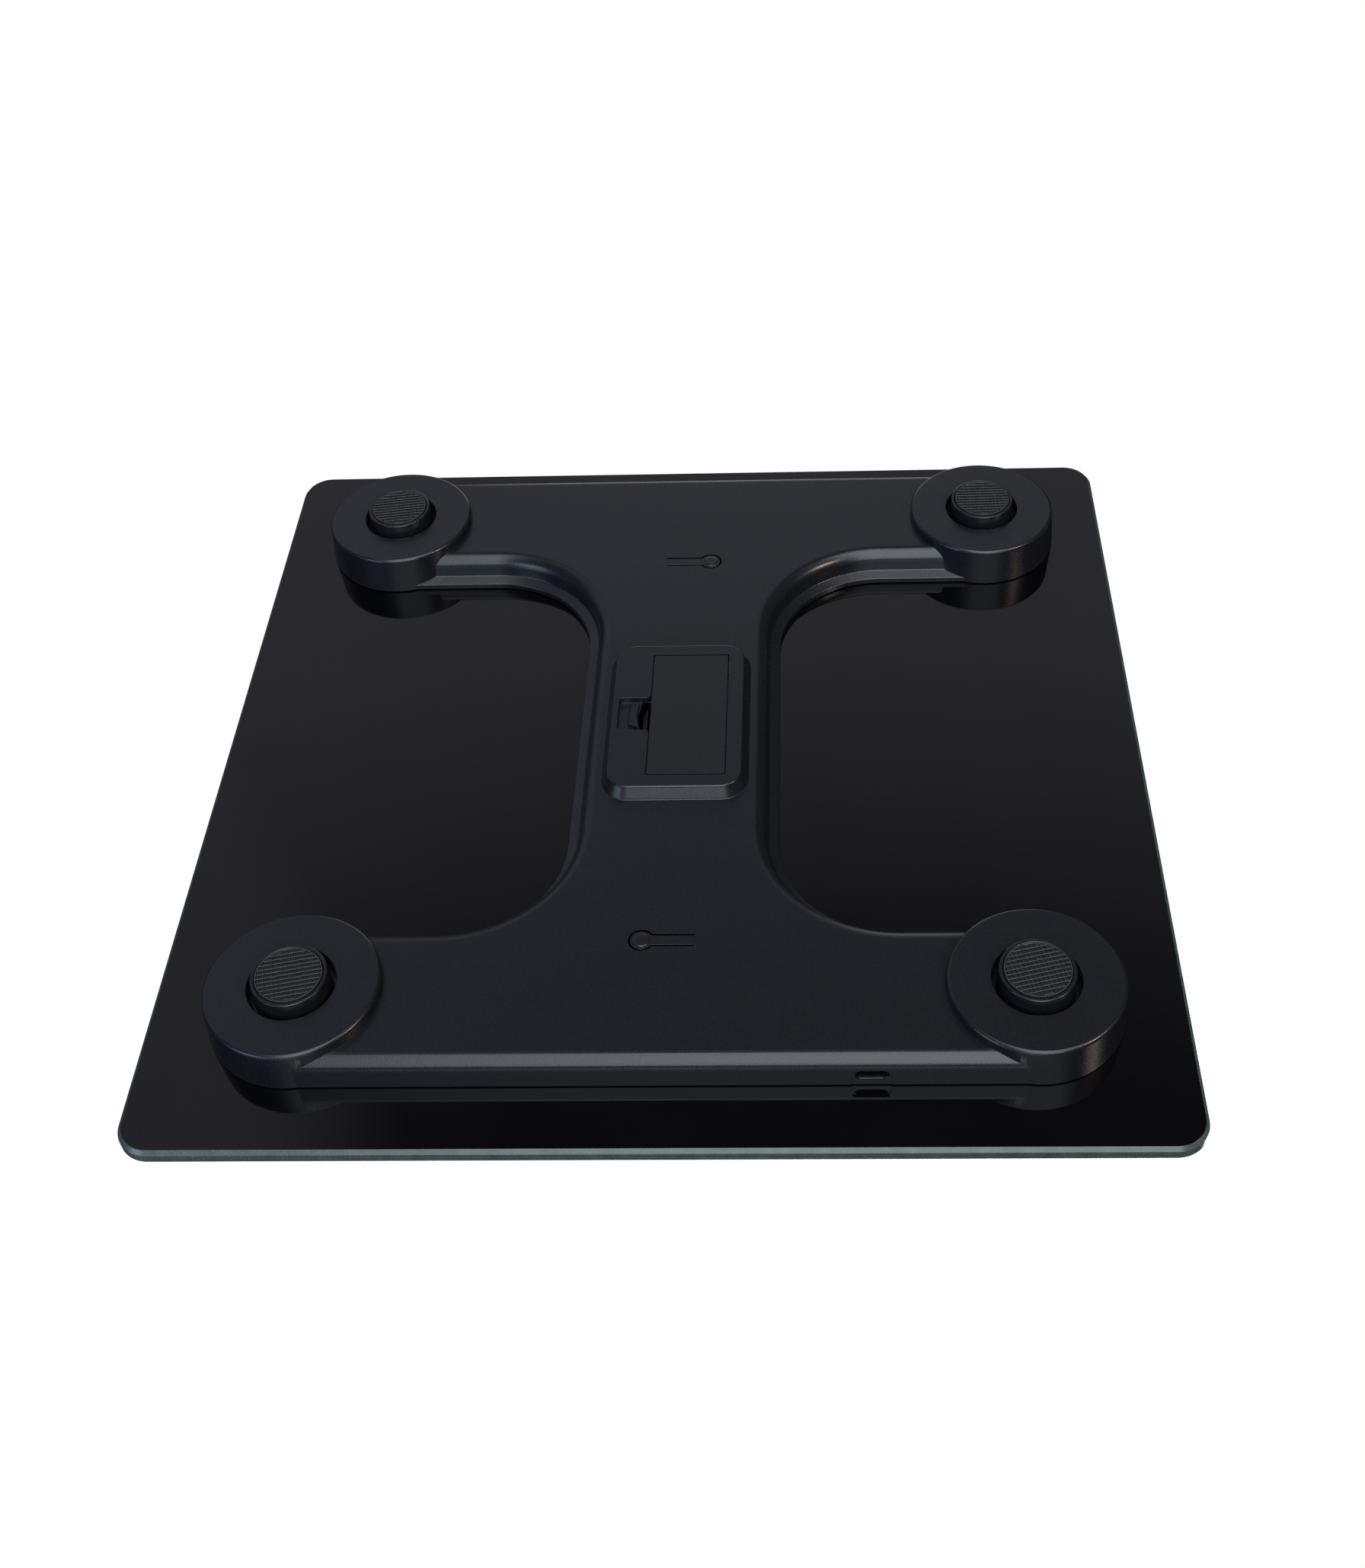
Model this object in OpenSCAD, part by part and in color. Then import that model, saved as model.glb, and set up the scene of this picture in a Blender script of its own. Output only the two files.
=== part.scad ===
// Digital bathroom scale: a glass platform on a one-piece plastic frame with four sprung feet.
// Every sub-part is drawn lying face down on a bench, with z measured from the glass's painted
// face up towards the feet, and place() turns the whole scale over onto its feet.

/* [Glass] */
// Side of the square glass platform
glass_w = 290; // [280:1:300]
// Thickness of the glass
glass_t = 5; // [4:0.5:6]
// Corner radius of the glass
glass_r = 9.5; // [6:0.5:14]
// Width of the ground chamfer round both faces of the glass
glass_bevel = 1.1; // [0.5:0.1:1.5]
// Display window in the black print, across
window_w = 60; // [50:1:64]
// Display window in the black print, front to back
window_d = 22; // [16:1:26]

/* [Frame] */
// How far the frame's centre sits from the glass's centre, away from the socket edge
frame_shift = 2.2; // [0:0.1:3]
// Centre of the frame to the centre of each pod, both ways
pod_pitch = 102.1; // [100:0.1:104]
// Radius of a pod where it meets the glass
pod_base_r = 25.4; // [25:0.1:26]
// Radius of a pod at its top edge
pod_top_r = 24.6; // [24:0.1:25]
// Height of a pod above the glass
pod_h = 13.8; // [13.4:0.1:14.4]
// Height of the beams and the column above the glass
frame_h = 10.6; // [10.4:0.1:11]
// Radius of the rounded shoulder along the beams and the column
shoulder_r = 4.4; // [3.5:0.1:5]
// Half width of the column at its ledge
column_half = 31.8; // [31:0.1:33]
// Frame centre to the inner ledge of a beam
beam_inner = 77.8; // [77:0.1:79]
// Frame centre to the outer wall of a beam
beam_outer = 127.2; // [126.5:0.1:127.4]
// Radius of the open bay's corners
bay_r = 34.5; // [30:0.5:38]
// Width of the ledge along the bays
ledge_w = 3.2; // [2.5:0.1:4]
// Thickness of the moulded walls
wall_t = 2; // [1.8:0.1:2.2]

/* [Battery bay] */
// Height of the battery bay's raised plateau above the glass
plateau_h = 14.6; // [14.6:0.1:15]
// Plateau's top face, across
plateau_w = 40.8; // [40:0.2:42]
// Plateau's top face, lengthways
plateau_l = 62; // [61:0.5:64]
// How far the plateau's sides slope out
plateau_slope = 2.2; // [1.5:0.1:2.6]
// Door across
door_w = 23.7; // [23.5:0.1:24]
// Door lengthways
door_l = 52.4; // [52:0.1:53]
// Thickness of the door panel
door_t = 1.5; // [1.4:0.1:1.6]
// Gap round the door
door_gap = 0.16; // [0.14:0.01:0.2]

/* [Feet] */
// Height of the feet above the glass
foot_h = 18; // [17.8:0.1:18.4]
// Radius of the hole that each foot comes through
foot_hole_r = 12.3; // [12:0.1:12.6]
// Radius of the foot's cup
foot_r = 10.6; // [10.4:0.1:10.8]
// Number of grip ridges on a foot pad, an odd number
ridge_count = 13; // [9:2:15]

/* [Socket and keys] */
// Centre of the socket from the middle of the scale
usb_x = 56.7; // [50:0.1:60]
// Height of the socket's centre above the glass
usb_z = 4.45; // [4.3:0.05:4.5]
// Radius of a flex key's round button
key_r = 3.15; // [2.9:0.05:3.2]
// Width of the slit round a flex key
key_slit = 0.6; // [0.4:0.05:0.65]
// Length of a flex key from its root to the button's centre
key_l = 15.1; // [14:0.1:16]

/* [Hidden] */
$fn = 64;
eps = 0.01;

// Heights above the painted face
print_t = 0.2;
gasket_t = 0.5;
shell_z = print_t + gasket_t;
ceiling_z = frame_h - wall_t;
pod_ceiling_z = pod_h - wall_t;
board_z = 6.1;
board_t = 1;
lead_z = 1;
lead_t = 1;

// Bay corners, measured from the frame's centre
bay_cx = column_half + bay_r;
bay_cy = beam_inner - bay_r;

// Frame profile: [distance in from the foot of the wall, height]
ledge_h = 2.4;
ledge_rise = 1.2;
wall_draft = 0.4;
wall_top_z = frame_h - shoulder_r;
arc_steps = 6;
function shoulder(from_d) = [for (i = [0:arc_steps]) let (a = 90 * i / arc_steps)
  [from_d + shoulder_r * (1 - cos(a)), wall_top_z + shoulder_r * sin(a)]];
inner_skin = concat([[0, shell_z], [0, ledge_h], [ledge_w, ledge_h + ledge_rise]],
  shoulder(ledge_w + wall_draft));
outer_skin = concat([[0, shell_z]], shoulder(wall_draft));
core_bevel = 2.2;
function core(foot_d) = [[foot_d + wall_t, shell_z - 1],
  [foot_d + wall_t, ceiling_z - core_bevel], [foot_d + wall_t + core_bevel, ceiling_z]];
inner_core = core(ledge_w);
outer_core = core(wall_draft);

// Battery bay, measured from the glass's centre
bay_y = 3;
door_x = 3.5;
door_z = plateau_h - door_t;
well_w = 21.9;
well_l = 50.4;
well_floor_z = 0.9;
well_wall = 1.2;
cell_r = 5.25;
cell_l = 44.5;
cell_z = 7.45;
cell_dx = 5.4;
hinge_x = door_x + door_w / 2;
lug_dy = 16;
lug_w = 6;
notch_x0 = -18.6;
notch_w = 14.2;
catch_x = -11.55;

// Flex keys: [centre x, centre y, direction of the root]
unit_at = [-6.8, -83.4, 1];
zero_at = [8, 80.8, -1];
key_t = 1.2;
post_z = 8.15;
plunger_gap = 0.05;
key_arm_w = 3.15;

// Sockets, display and load cells
usb_w = 8.94;
usb_h = 3.26;
usb_l = 7.3;
usb_recess = 0.6;
display_at = [0, -103];
cell_plate = 34;
cell_plate_t = 1.5;
cell_plate_z = 5.4;
cell_window = 24;
stem_z = 9;
cup_depth = 3;
pad_base_z = foot_h - 0.5 - cup_depth;

// Turns the face-down model over onto its feet
module place() {
  translate([0, 0, foot_h]) rotate([180, 0, 0]) children();
}

module frame_centre() {
  translate([0, frame_shift, 0]) children();
}

module pod_at(sx, sy) {
  translate([sx * pod_pitch, frame_shift + sy * pod_pitch, 0]) children();
}

module each_pod() {
  for (sx = [-1, 1], sy = [-1, 1]) pod_at(sx, sy) children();
}

module slab(x0, x1, y0, y1, z0, z1) {
  translate([x0, y0, z0]) cube([x1 - x0, y1 - y0, z1 - z0]);
}

module rounded_plate(w, d, r, h) {
  linear_extrude(h) union() {
    square([w - 2 * r, d], center = true);
    square([w, d - 2 * r], center = true);
    for (sx = [-1, 1], sy = [-1, 1])
      translate([sx * (w / 2 - r), sy * (d / 2 - r)]) circle(r);
  }
}

// The frame's outline on the glass, set in from the edge by i
module footprint(i) {
  frame_centre() union() {
    difference() {
      square([2 * bay_cx, 2 * (beam_outer - i)], center = true);
      for (s = [-1, 1]) {
        translate([s * (bay_cx + column_half - i), 0])
          square([2 * bay_cx, 2 * bay_cy], center = true);
        for (t = [-1, 1]) translate([s * bay_cx, t * bay_cy]) circle(bay_r + i);
      }
    }
    for (s = [-1, 1], t = [-1, 1]) {
      translate([s * (bay_cx + pod_pitch) / 2, t * (beam_inner + beam_outer) / 2])
        square([pod_pitch - bay_cx + 2 * eps, beam_outer - beam_inner - 2 * i], center = true);
      translate([s * pod_pitch, t * pod_pitch]) circle(pod_base_r - i);
    }
  }
}

// Runs a profile drawn in (y, z) along x from x0 to x1
module run_x(x0, x1) {
  translate([x0, 0, 0]) rotate([90, 0, 90]) linear_extrude(x1 - x0) children();
}

// One end of the H: the beam between the bays, with the bays' corners cut from it
module head(inner, outer, top) {
  low = inner[0][1];
  difference() {
    run_x(-bay_cx, bay_cx) polygon(concat([[bay_cy, top], [bay_cy, low]],
      [for (p = outer) [beam_outer - p[0], p[1]]]));
    for (s = [-1, 1]) translate([s * bay_cx, bay_cy, 0])
      rotate_extrude() polygon(concat([[0, top + 1], [0, low - 1], [bay_r + inner[0][0], low - 1]],
        [for (p = inner) [bay_r + p[0], p[1]]],
        [[bay_r + inner[len(inner) - 1][0], top + 1]]));
  }
}

// One arm of the H, from the bay's corner to the middle of a pod
module arm(inner, outer) {
  last = len(outer) - 1;
  run_x(bay_cx, pod_pitch) polygon(concat([for (p = inner) [beam_inner + p[0], p[1]]],
    [for (i = [last:-1:0]) [beam_outer - outer[i][0], outer[i][1]]]));
}

module column(inner) {
  last = len(inner) - 1;
  rotate([0, 0, 90]) run_x(-bay_cy, bay_cy) polygon(concat(
    [for (p = inner) [p[0] - column_half, p[1]]],
    [for (i = [last:-1:0]) [column_half - inner[i][0], inner[i][1]]]));
}

// The whole H without its pods, for the skin and for the hollow inside it
module h_form(inner, outer, top) {
  frame_centre() union() {
    column(inner);
    for (a = [0, 180]) rotate([0, 0, a]) head(inner, outer, top);
    for (sx = [0, 1], sy = [0, 1]) mirror([sx, 0, 0]) mirror([0, sy, 0]) arm(inner, outer);
  }
}

pod_edge_r = 1.1;
module pod_skin() {
  rotate_extrude() polygon(concat([[0, shell_z], [pod_base_r, shell_z]],
    [for (i = [0:4]) let (a = 22.5 * i)
      [pod_top_r - pod_edge_r * (1 - cos(a)), pod_h - pod_edge_r * (1 - sin(a))]],
    [[0, pod_h]]));
}

module pod_core() {
  translate([0, 0, shell_z - 1])
    cylinder(h = pod_ceiling_z - shell_z + 1, r1 = pod_base_r - wall_t, r2 = pod_top_r - wall_t);
}

// Ribs that hold a load cell's frame down
rib_r = 17.6;
rib_t = 1.4;
module pod_rib() {
  difference() {
    translate([0, 0, cell_plate_z + cell_plate_t])
      cylinder(h = pod_ceiling_z - cell_plate_z - cell_plate_t + eps, r = rib_r);
    cylinder(h = pod_h, r = rib_r - rib_t);
  }
}

// Raised plateau over the batteries
plateau_r = 6.5;
module plateau_skin() {
  foot = 2 * plateau_slope;
  edge = 0.6;
  translate([0, bay_y, 0]) hull() {
    translate([0, 0, frame_h - 1])
      rounded_plate(plateau_w + foot + 1, plateau_l + foot + 1, plateau_r + plateau_slope, 0.1);
    translate([0, 0, plateau_h - edge])
      rounded_plate(plateau_w + edge, plateau_l + edge, plateau_r + edge / 2, 0.1);
    translate([0, 0, plateau_h - 0.1])
      rounded_plate(plateau_w - edge, plateau_l - edge, plateau_r - edge / 2, 0.1);
  }
}

module well(grow, z0, z1) {
  slab(door_x - well_w / 2 - grow, door_x + well_w / 2 + grow,
    bay_y - well_l / 2 - grow, bay_y + well_l / 2 + grow, z0, z1);
}

// Finger notch beside the door: a scoop and a slot for the latch
module notch() {
  floor_z = plateau_h - 2.3;
  ramp_z = plateau_h - 2.6;
  ramp_x = -15.5;
  translate([0, bay_y + notch_w / 2, 0]) rotate([90, 0, 0]) linear_extrude(notch_w)
    polygon([[notch_x0, plateau_h + 1], [notch_x0, floor_z], [ramp_x, floor_z],
      [catch_x, ramp_z], [catch_x, board_z], [door_x - door_w / 2, board_z],
      [door_x - door_w / 2, plateau_h + 1]]);
}

// Slot through the well's wall for the latch's spring leaf
module latch_slot() {
  slab(catch_x, door_x - well_w / 2 + eps, bay_y - 4.9, bay_y + 4.9, 7.2, plateau_h);
}

module notch_block() {
  slab(notch_x0 - well_wall, door_x - door_w / 2, bay_y - notch_w / 2 - well_wall,
    bay_y + notch_w / 2 + well_wall, 10.9, plateau_h - 1);
}

// Pocket in the well's wall for a lug of the door
module lug_pocket(side) {
  slab(hinge_x - 1.6, hinge_x + 2.4, bay_y + side * lug_dy - lug_w / 2 - 0.4,
    bay_y + side * lug_dy + lug_w / 2 + 0.4, 10.4, door_z - 0.2);
}

module key_outline(grow) {
  union() {
    circle(key_r + grow);
    translate([0, -key_arm_w / 2 - grow]) square([key_l, key_arm_w + 2 * grow]);
  }
}

module at_key(k) {
  translate([k[0], k[1], 0]) rotate([0, 0, k[2] > 0 ? 0 : 180]) children();
}

module usb_outline(grow) {
  r = usb_h / 2 + grow;
  union() {
    square([usb_w - usb_h, 2 * r], center = true);
    for (s = [-1, 1]) translate([s * (usb_w - usb_h) / 2, 0]) circle(r);
  }
}

module at_usb() {
  translate([usb_x, frame_shift - beam_outer, usb_z]) rotate([90, 0, 0]) children();
}

// Bosses for the boards: [x, y]
BOSSES = [[-37, -117], [-37, -88], [44, -117], [44, -88], [1.2, 85.3], [13.8, 76.5]];
module bosses() {
  for (b = BOSSES) translate([b[0], b[1], board_z + board_t])
    cylinder(h = ceiling_z - board_z - board_t + eps, r = 2.2);
}

module base_shell() {
  color("#23262a") place() difference() {
    union() {
      difference() {
        union() {
          h_form(inner_skin, outer_skin, frame_h);
          each_pod() pod_skin();
          plateau_skin();
        }
        h_form(inner_core, outer_core, ceiling_z);
        each_pod() pod_core();
        slab(-plateau_w / 2 + wall_t, plateau_w / 2 - wall_t, bay_y - plateau_l / 2 + wall_t,
          bay_y + plateau_l / 2 - wall_t, board_z, plateau_h - wall_t);
      }
      well(well_wall, well_floor_z, door_z);
      notch_block();
      each_pod() pod_rib();
      bosses();
    }
    each_pod() cylinder(h = pod_h + 1, r = foot_hole_r);
    well(0, well_floor_z + 1, plateau_h);
    translate([door_x, bay_y, door_z - 0.2]) linear_extrude(door_t + 1)
      square([door_w + 2 * door_gap, door_l + 2 * door_gap], center = true);
    notch();
    latch_slot();
    for (side = [-1, 1]) lug_pocket(side);
    for (k = [unit_at, zero_at]) at_key(k) translate([0, 0, ceiling_z - 1])
      linear_extrude(wall_t + 2) key_outline(key_slit);
    at_usb() translate([0, 0, -wall_t - 1]) linear_extrude(wall_t + 2) usb_outline(0.12);
    slab(usb_x - 5.5, usb_x + 5.5, frame_shift - beam_outer - 1,
      frame_shift - beam_outer + usb_recess, shell_z - 1, 7.4);
    for (b = BOSSES) translate([b[0], b[1], board_z]) cylinder(h = 2.2, r = 0.7);
  }
}

module glass_platform() {
  color("#5c6b68") place() hull() {
    translate([0, 0, -glass_t]) rounded_plate(glass_w - 2 * glass_bevel,
      glass_w - 2 * glass_bevel, glass_r - glass_bevel, glass_t);
    translate([0, 0, glass_bevel - glass_t])
      rounded_plate(glass_w, glass_w, glass_r, glass_t - 2 * glass_bevel);
  }
}

module enamel_backing() {
  flat = glass_w - 2 * glass_bevel;
  color("#08090b") place() difference() {
    rounded_plate(flat, flat, glass_r - glass_bevel, print_t);
    translate([display_at[0], display_at[1], -1]) rounded_plate(window_w, window_d, 3, 3);
  }
}

module adhesive_gasket() {
  color("#0c0c0d") place() translate([0, 0, print_t]) linear_extrude(gasket_t) difference() {
    footprint(0.9);
    footprint(2.5);
    translate([usb_x, frame_shift - beam_outer]) square([12, 6], center = true);
  }
}

// Plastic tray that carries a load cell's frame on the glass
tray_r = 22;
module load_cell_tray(sx, sy) {
  color("#d9dad6") place() pod_at(sx, sy) difference() {
    translate([0, 0, shell_z]) cylinder(h = cell_plate_z - shell_z, r = tray_r);
    slab(-cell_window / 2, cell_window / 2, -cell_window / 2, cell_window / 2, 0, cell_plate_z + 1);
    slab(min(0, -sx * tray_r), max(0, -sx * tray_r), -2.5, 2.5, 0, lead_z + lead_t + 0.3);
  }
}

module load_cell_frame(sx, sy) {
  color("#b9bcbf") place() pod_at(sx, sy) translate([0, 0, cell_plate_z]) difference() {
    rounded_plate(cell_plate, cell_plate, 5, cell_plate_t);
    translate([0, 0, -1]) rounded_plate(cell_window, cell_window, 1.5, cell_plate_t + 2);
  }
}

// The bending tongue of a load cell, with its strain gauge under it
tongue_w = 13;
module load_cell_tongue(sx, sy) {
  color("#c4c7ca") place() pod_at(sx, sy) union() {
    slab(-tongue_w / 2, tongue_w / 2, -7, cell_window / 2 - 0.4,
      cell_plate_z, cell_plate_z + cell_plate_t);
    slab(-4, 4, 4, 10.5, cell_plate_z - 0.8, cell_plate_z + eps);
  }
}

module foot_carrier(sx, sy) {
  color("#1b1d20") place() pod_at(sx, sy) difference() {
    union() {
      translate([0, 0, cell_plate_z + cell_plate_t]) cylinder(h = 1, r = 5);
      translate([0, 0, cell_plate_z + cell_plate_t + 0.7])
        cylinder(h = stem_z - cell_plate_z - cell_plate_t - 0.7, r = 14.6);
      translate([0, 0, stem_z - eps])
        cylinder(h = foot_h - 0.5 - stem_z + eps, r1 = foot_r + 0.15, r2 = foot_r);
    }
    translate([0, 0, pad_base_z]) cylinder(h = cup_depth + 1, r = foot_r - 1.1);
  }
}

// Rubber pad: parallel ridges on a disc, trimmed round
module foot_pad(sx, sy) {
  pad_r = foot_r - 1.25;
  pitch = 2 * pad_r / ridge_count;
  color("#3a3d3d") place() pod_at(sx, sy) union() {
    translate([0, 0, pad_base_z]) cylinder(h = foot_h - 0.55 - pad_base_z, r = pad_r);
    intersection() {
      translate([0, 0, pad_base_z]) cylinder(h = foot_h - pad_base_z, r = pad_r - 0.2);
      for (i = [-(ridge_count - 1) / 2 : (ridge_count - 1) / 2])
        slab(-pad_r, pad_r, (i - 0.28) * pitch, (i + 0.28) * pitch, foot_h - 1, foot_h);
    }
  }
}

// Door with two hooked lugs on its hinge side and a spring latch on the other
module battery_door() {
  edge_x = door_x - door_w / 2;
  leaf = 0.8;
  latch_z = 7.7;
  color("#24272b") place() union() {
    slab(edge_x, hinge_x, bay_y - door_l / 2, bay_y + door_l / 2, door_z, plateau_h);
    for (s = [-1, 1]) translate([0, bay_y + s * lug_dy - lug_w / 2, 0]) {
      slab(hinge_x - 1.05, hinge_x - 0.15, 0, lug_w, door_z - 1.7, door_z + eps);
      slab(hinge_x - 1.05, hinge_x + 1.85, 0, lug_w, door_z - 1.7, door_z - 0.7);
    }
    translate([0, bay_y - 4.5, 0]) {
      slab(edge_x + 0.05, edge_x + 0.05 + leaf, 0, 9, latch_z, door_z + eps);
      slab(edge_x - 1.85, edge_x + 0.05 + leaf, 0, 9, latch_z, latch_z + leaf);
      slab(edge_x - 1.85, edge_x - 1.85 + leaf, 0, 9, latch_z, 12.2);
      slab(edge_x - 2.75, edge_x - 1.85 + eps, 0, 9, 9.6, 10.6);
    }
  }
}

// AAA cell lying along y, its positive end towards +y when turn is 0
nub_l = 0.8;
module battery_cell(dx, turn) {
  translate([door_x + dx, bay_y, cell_z]) rotate([0, 0, turn]) rotate([-90, 0, 0]) union() {
    translate([0, 0, 24.4 - cell_l]) cylinder(h = cell_l - nub_l, r = cell_r);
    translate([0, 0, 24.4 - nub_l - eps]) cylinder(h = nub_l + eps, r = 1.9);
  }
}

module battery_left() {
  color("#3f6f8f") place() battery_cell(-cell_dx, 0);
}

module battery_right() {
  color("#3f6f8f") place() battery_cell(cell_dx, 180);
}

// Conical spring as a stack of rings, one for each turn
module spring_rings(dx, turn) {
  turns = 6;
  translate([door_x + dx, bay_y, cell_z]) rotate([0, 0, turn]) rotate([-90, 0, 0])
    for (i = [0:turns - 1]) translate([0, 0, -24.5 + 0.8 * i])
      rotate_extrude() translate([3.9 - 0.35 * i, 0]) circle(0.3, $fn = 16);
}

module battery_springs() {
  color("#c9ccce") place() {
    spring_rings(-cell_dx, 0);
    spring_rings(cell_dx, 180);
  }
}

module battery_contacts() {
  end_y = well_l / 2;
  color("#c9ccce") place() translate([door_x, bay_y, 0]) {
    slab(-9.8, 9.8, end_y - 0.3, end_y, 3, 11);
    slab(-cell_dx - 2, -cell_dx + 2, end_y - 0.75, end_y - 0.3 + eps, 6, 9);
    slab(-9.6, -1.4, -end_y, 0.3 - end_y, 3, 11);
    slab(1.4, 9.6, -end_y, 0.3 - end_y, 3, 11);
    slab(cell_dx - 2, cell_dx + 2, 0.3 - eps - end_y, 0.75 - end_y, 6, 9);
  }
}

module flex_key(k) {
  color("#26292d") place() at_key(k) union() {
    translate([0, 0, frame_h - key_t]) linear_extrude(key_t) union() {
      circle(key_r);
      translate([0, -key_arm_w / 2]) square([key_l - 0.15, key_arm_w]);
    }
    translate([0, 0, post_z]) cylinder(h = frame_h - key_t - post_z + eps, r = 1.1);
  }
}

module unit_key() {
  flex_key(unit_at);
}

module zero_key() {
  flex_key(zero_at);
}

switch_h = 0.5;
plunger_r = 0.8;
module tact_switch(k) {
  top = board_z + board_t + switch_h;
  color("#c8ccd0") place() at_key(k) difference() {
    slab(-2.2, 2.2, -1.8, 1.8, board_z + board_t, top);
    translate([0, 0, board_z + board_t + 0.02]) cylinder(h = switch_h, r = plunger_r + 0.06);
  }
}

module plunger(k) {
  low = board_z + board_t + 0.45;
  color("#1a1a1a") place() at_key(k) translate([0, 0, low])
    cylinder(h = post_z - plunger_gap - low, r = plunger_r);
}

module unit_switch() {
  tact_switch(unit_at);
}

module zero_switch() {
  tact_switch(zero_at);
}

module unit_plunger() {
  plunger(unit_at);
}

module zero_plunger() {
  plunger(zero_at);
}

module board_holes(list) {
  for (b = list) translate([b[0], b[1], board_z - 1]) cylinder(h = board_t + 2, r = 1);
}

module main_board() {
  color("#1f5b3a") place() difference() {
    union() {
      slab(-41, 63, -121, -84.6, board_z, board_z + board_t);
      slab(-13, 0, -84.7, -79.2, board_z, board_z + board_t);
    }
    board_holes([for (i = [0:3]) BOSSES[i]]);
  }
}

module zero_board() {
  color("#1f5b3a") place() difference() {
    slab(-1.5, 16.5, 74, 88, board_z, board_z + board_t);
    board_holes([BOSSES[4], BOSSES[5]]);
  }
}

module controller_chip() {
  color("#15171a") place() slab(36, 43, -107, -100, board_z - 1.2, board_z);
}

module board_parts() {
  color("#b08d57") place() {
    for (i = [0:4]) slab(34 + 2.6 * i, 35.6 + 2.6 * i, -112, -111, board_z - 0.6, board_z);
    for (i = [0:2]) slab(-39 + 2.4 * i, -37.6 + 2.4 * i, -108, -107, board_z - 0.6, board_z);
    translate([51, -104, board_z - 2.6]) cylinder(h = 2.6, r = 2.2);
  }
}

module board_screws() {
  color("#8d9093") place() for (b = BOSSES) translate([b[0], b[1], board_z]) union() {
    translate([0, 0, -1.1]) cylinder(h = 1.1, r = 1.9);
    translate([0, 0, -eps]) cylinder(h = 2, r = 0.7);
  }
}

module display_module() {
  color("#17181a") place() slab(display_at[0] - 32, display_at[0] + 32,
    display_at[1] - 13, display_at[1] + 13, 0.7, board_z);
}

module display_filter() {
  color("#101216") place() slab(display_at[0] - 31.5, display_at[0] + 31.5,
    display_at[1] - 12.5, display_at[1] + 12.5, print_t, 0.7);
}

// Receptacle shell with the contact tongue inside it
module usb_socket() {
  color("#c3c6c9") place() at_usb() translate([0, 0, -usb_recess - 0.1 - usb_l]) union() {
    linear_extrude(usb_l) difference() {
      usb_outline(0);
      usb_outline(-0.3);
    }
    linear_extrude(1.2) usb_outline(-0.1);
    translate([-3.35, -0.35, 0]) cube([6.7, 0.7, usb_l - 1]);
  }
}

// Flat three-core leads, drawn as straight runs along x or y, with a riser to the board
lead_w = 2.4;
module lead_run(a, b) {
  slab(min(a[0], b[0]) - lead_w / 2, max(a[0], b[0]) + lead_w / 2,
    min(a[1], b[1]) - lead_w / 2, max(a[1], b[1]) + lead_w / 2, lead_z, lead_z + lead_t);
}

module lead(route) {
  last = route[len(route) - 1];
  union() {
    for (i = [0:len(route) - 2]) lead_run(route[i], route[i + 1]);
    slab(last[0] - lead_w / 2, last[0] + lead_w / 2, last[1] - lead_w / 2, last[1] + lead_w / 2,
      lead_z, board_z);
  }
}

pod_x = pod_pitch - 14;
near_y = frame_shift - pod_pitch;
far_y = frame_shift + pod_pitch;
module cell_lead(route) {
  color("#2b2b2e") place() lead(route);
}

module cell_lead_fl() {
  cell_lead([[-pod_x, near_y], [-38.5, near_y]]);
}

module cell_lead_fr() {
  cell_lead([[pod_x, near_y], [58, near_y]]);
}

module cell_lead_bl() {
  cell_lead([[-pod_x, far_y], [-22, far_y], [-22, -87]]);
}

module cell_lead_br() {
  cell_lead([[pod_x, far_y], [22, far_y], [22, -87]]);
}

module battery_lead() {
  cell_lead([[-4, -25.2], [-16, -25.2], [-16, -87]]);
}

module zero_lead() {
  cell_lead([[18, -87], [18, 74], [10.5, 74], [10.5, 78.6]]);
}

glass_platform();
enamel_backing();
adhesive_gasket();
base_shell();
load_cell_tray(-1, -1);  // load_cell_tray_fl
load_cell_tray(1, -1);  // load_cell_tray_fr
load_cell_tray(-1, 1);  // load_cell_tray_bl
load_cell_tray(1, 1);  // load_cell_tray_br
load_cell_frame(-1, -1);  // load_cell_frame_fl
load_cell_frame(1, -1);  // load_cell_frame_fr
load_cell_frame(-1, 1);  // load_cell_frame_bl
load_cell_frame(1, 1);  // load_cell_frame_br
load_cell_tongue(-1, -1);  // load_cell_tongue_fl
load_cell_tongue(1, -1);  // load_cell_tongue_fr
load_cell_tongue(-1, 1);  // load_cell_tongue_bl
load_cell_tongue(1, 1);  // load_cell_tongue_br
foot_carrier(-1, -1);  // foot_carrier_fl
foot_carrier(1, -1);  // foot_carrier_fr
foot_carrier(-1, 1);  // foot_carrier_bl
foot_carrier(1, 1);  // foot_carrier_br
foot_pad(-1, -1);  // foot_pad_fl
foot_pad(1, -1);  // foot_pad_fr
foot_pad(-1, 1);  // foot_pad_bl
foot_pad(1, 1);  // foot_pad_br
battery_door();
battery_left();
battery_right();
battery_springs();
battery_contacts();
unit_key();
zero_key();
unit_switch();
zero_switch();
unit_plunger();
zero_plunger();
main_board();
zero_board();
controller_chip();
board_parts();
board_screws();
display_module();
display_filter();
usb_socket();
cell_lead_fl();
cell_lead_fr();
cell_lead_bl();
cell_lead_br();
battery_lead();
zero_lead();
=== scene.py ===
import math

import bmesh
import bpy
from mathutils import Matrix, Vector

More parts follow.
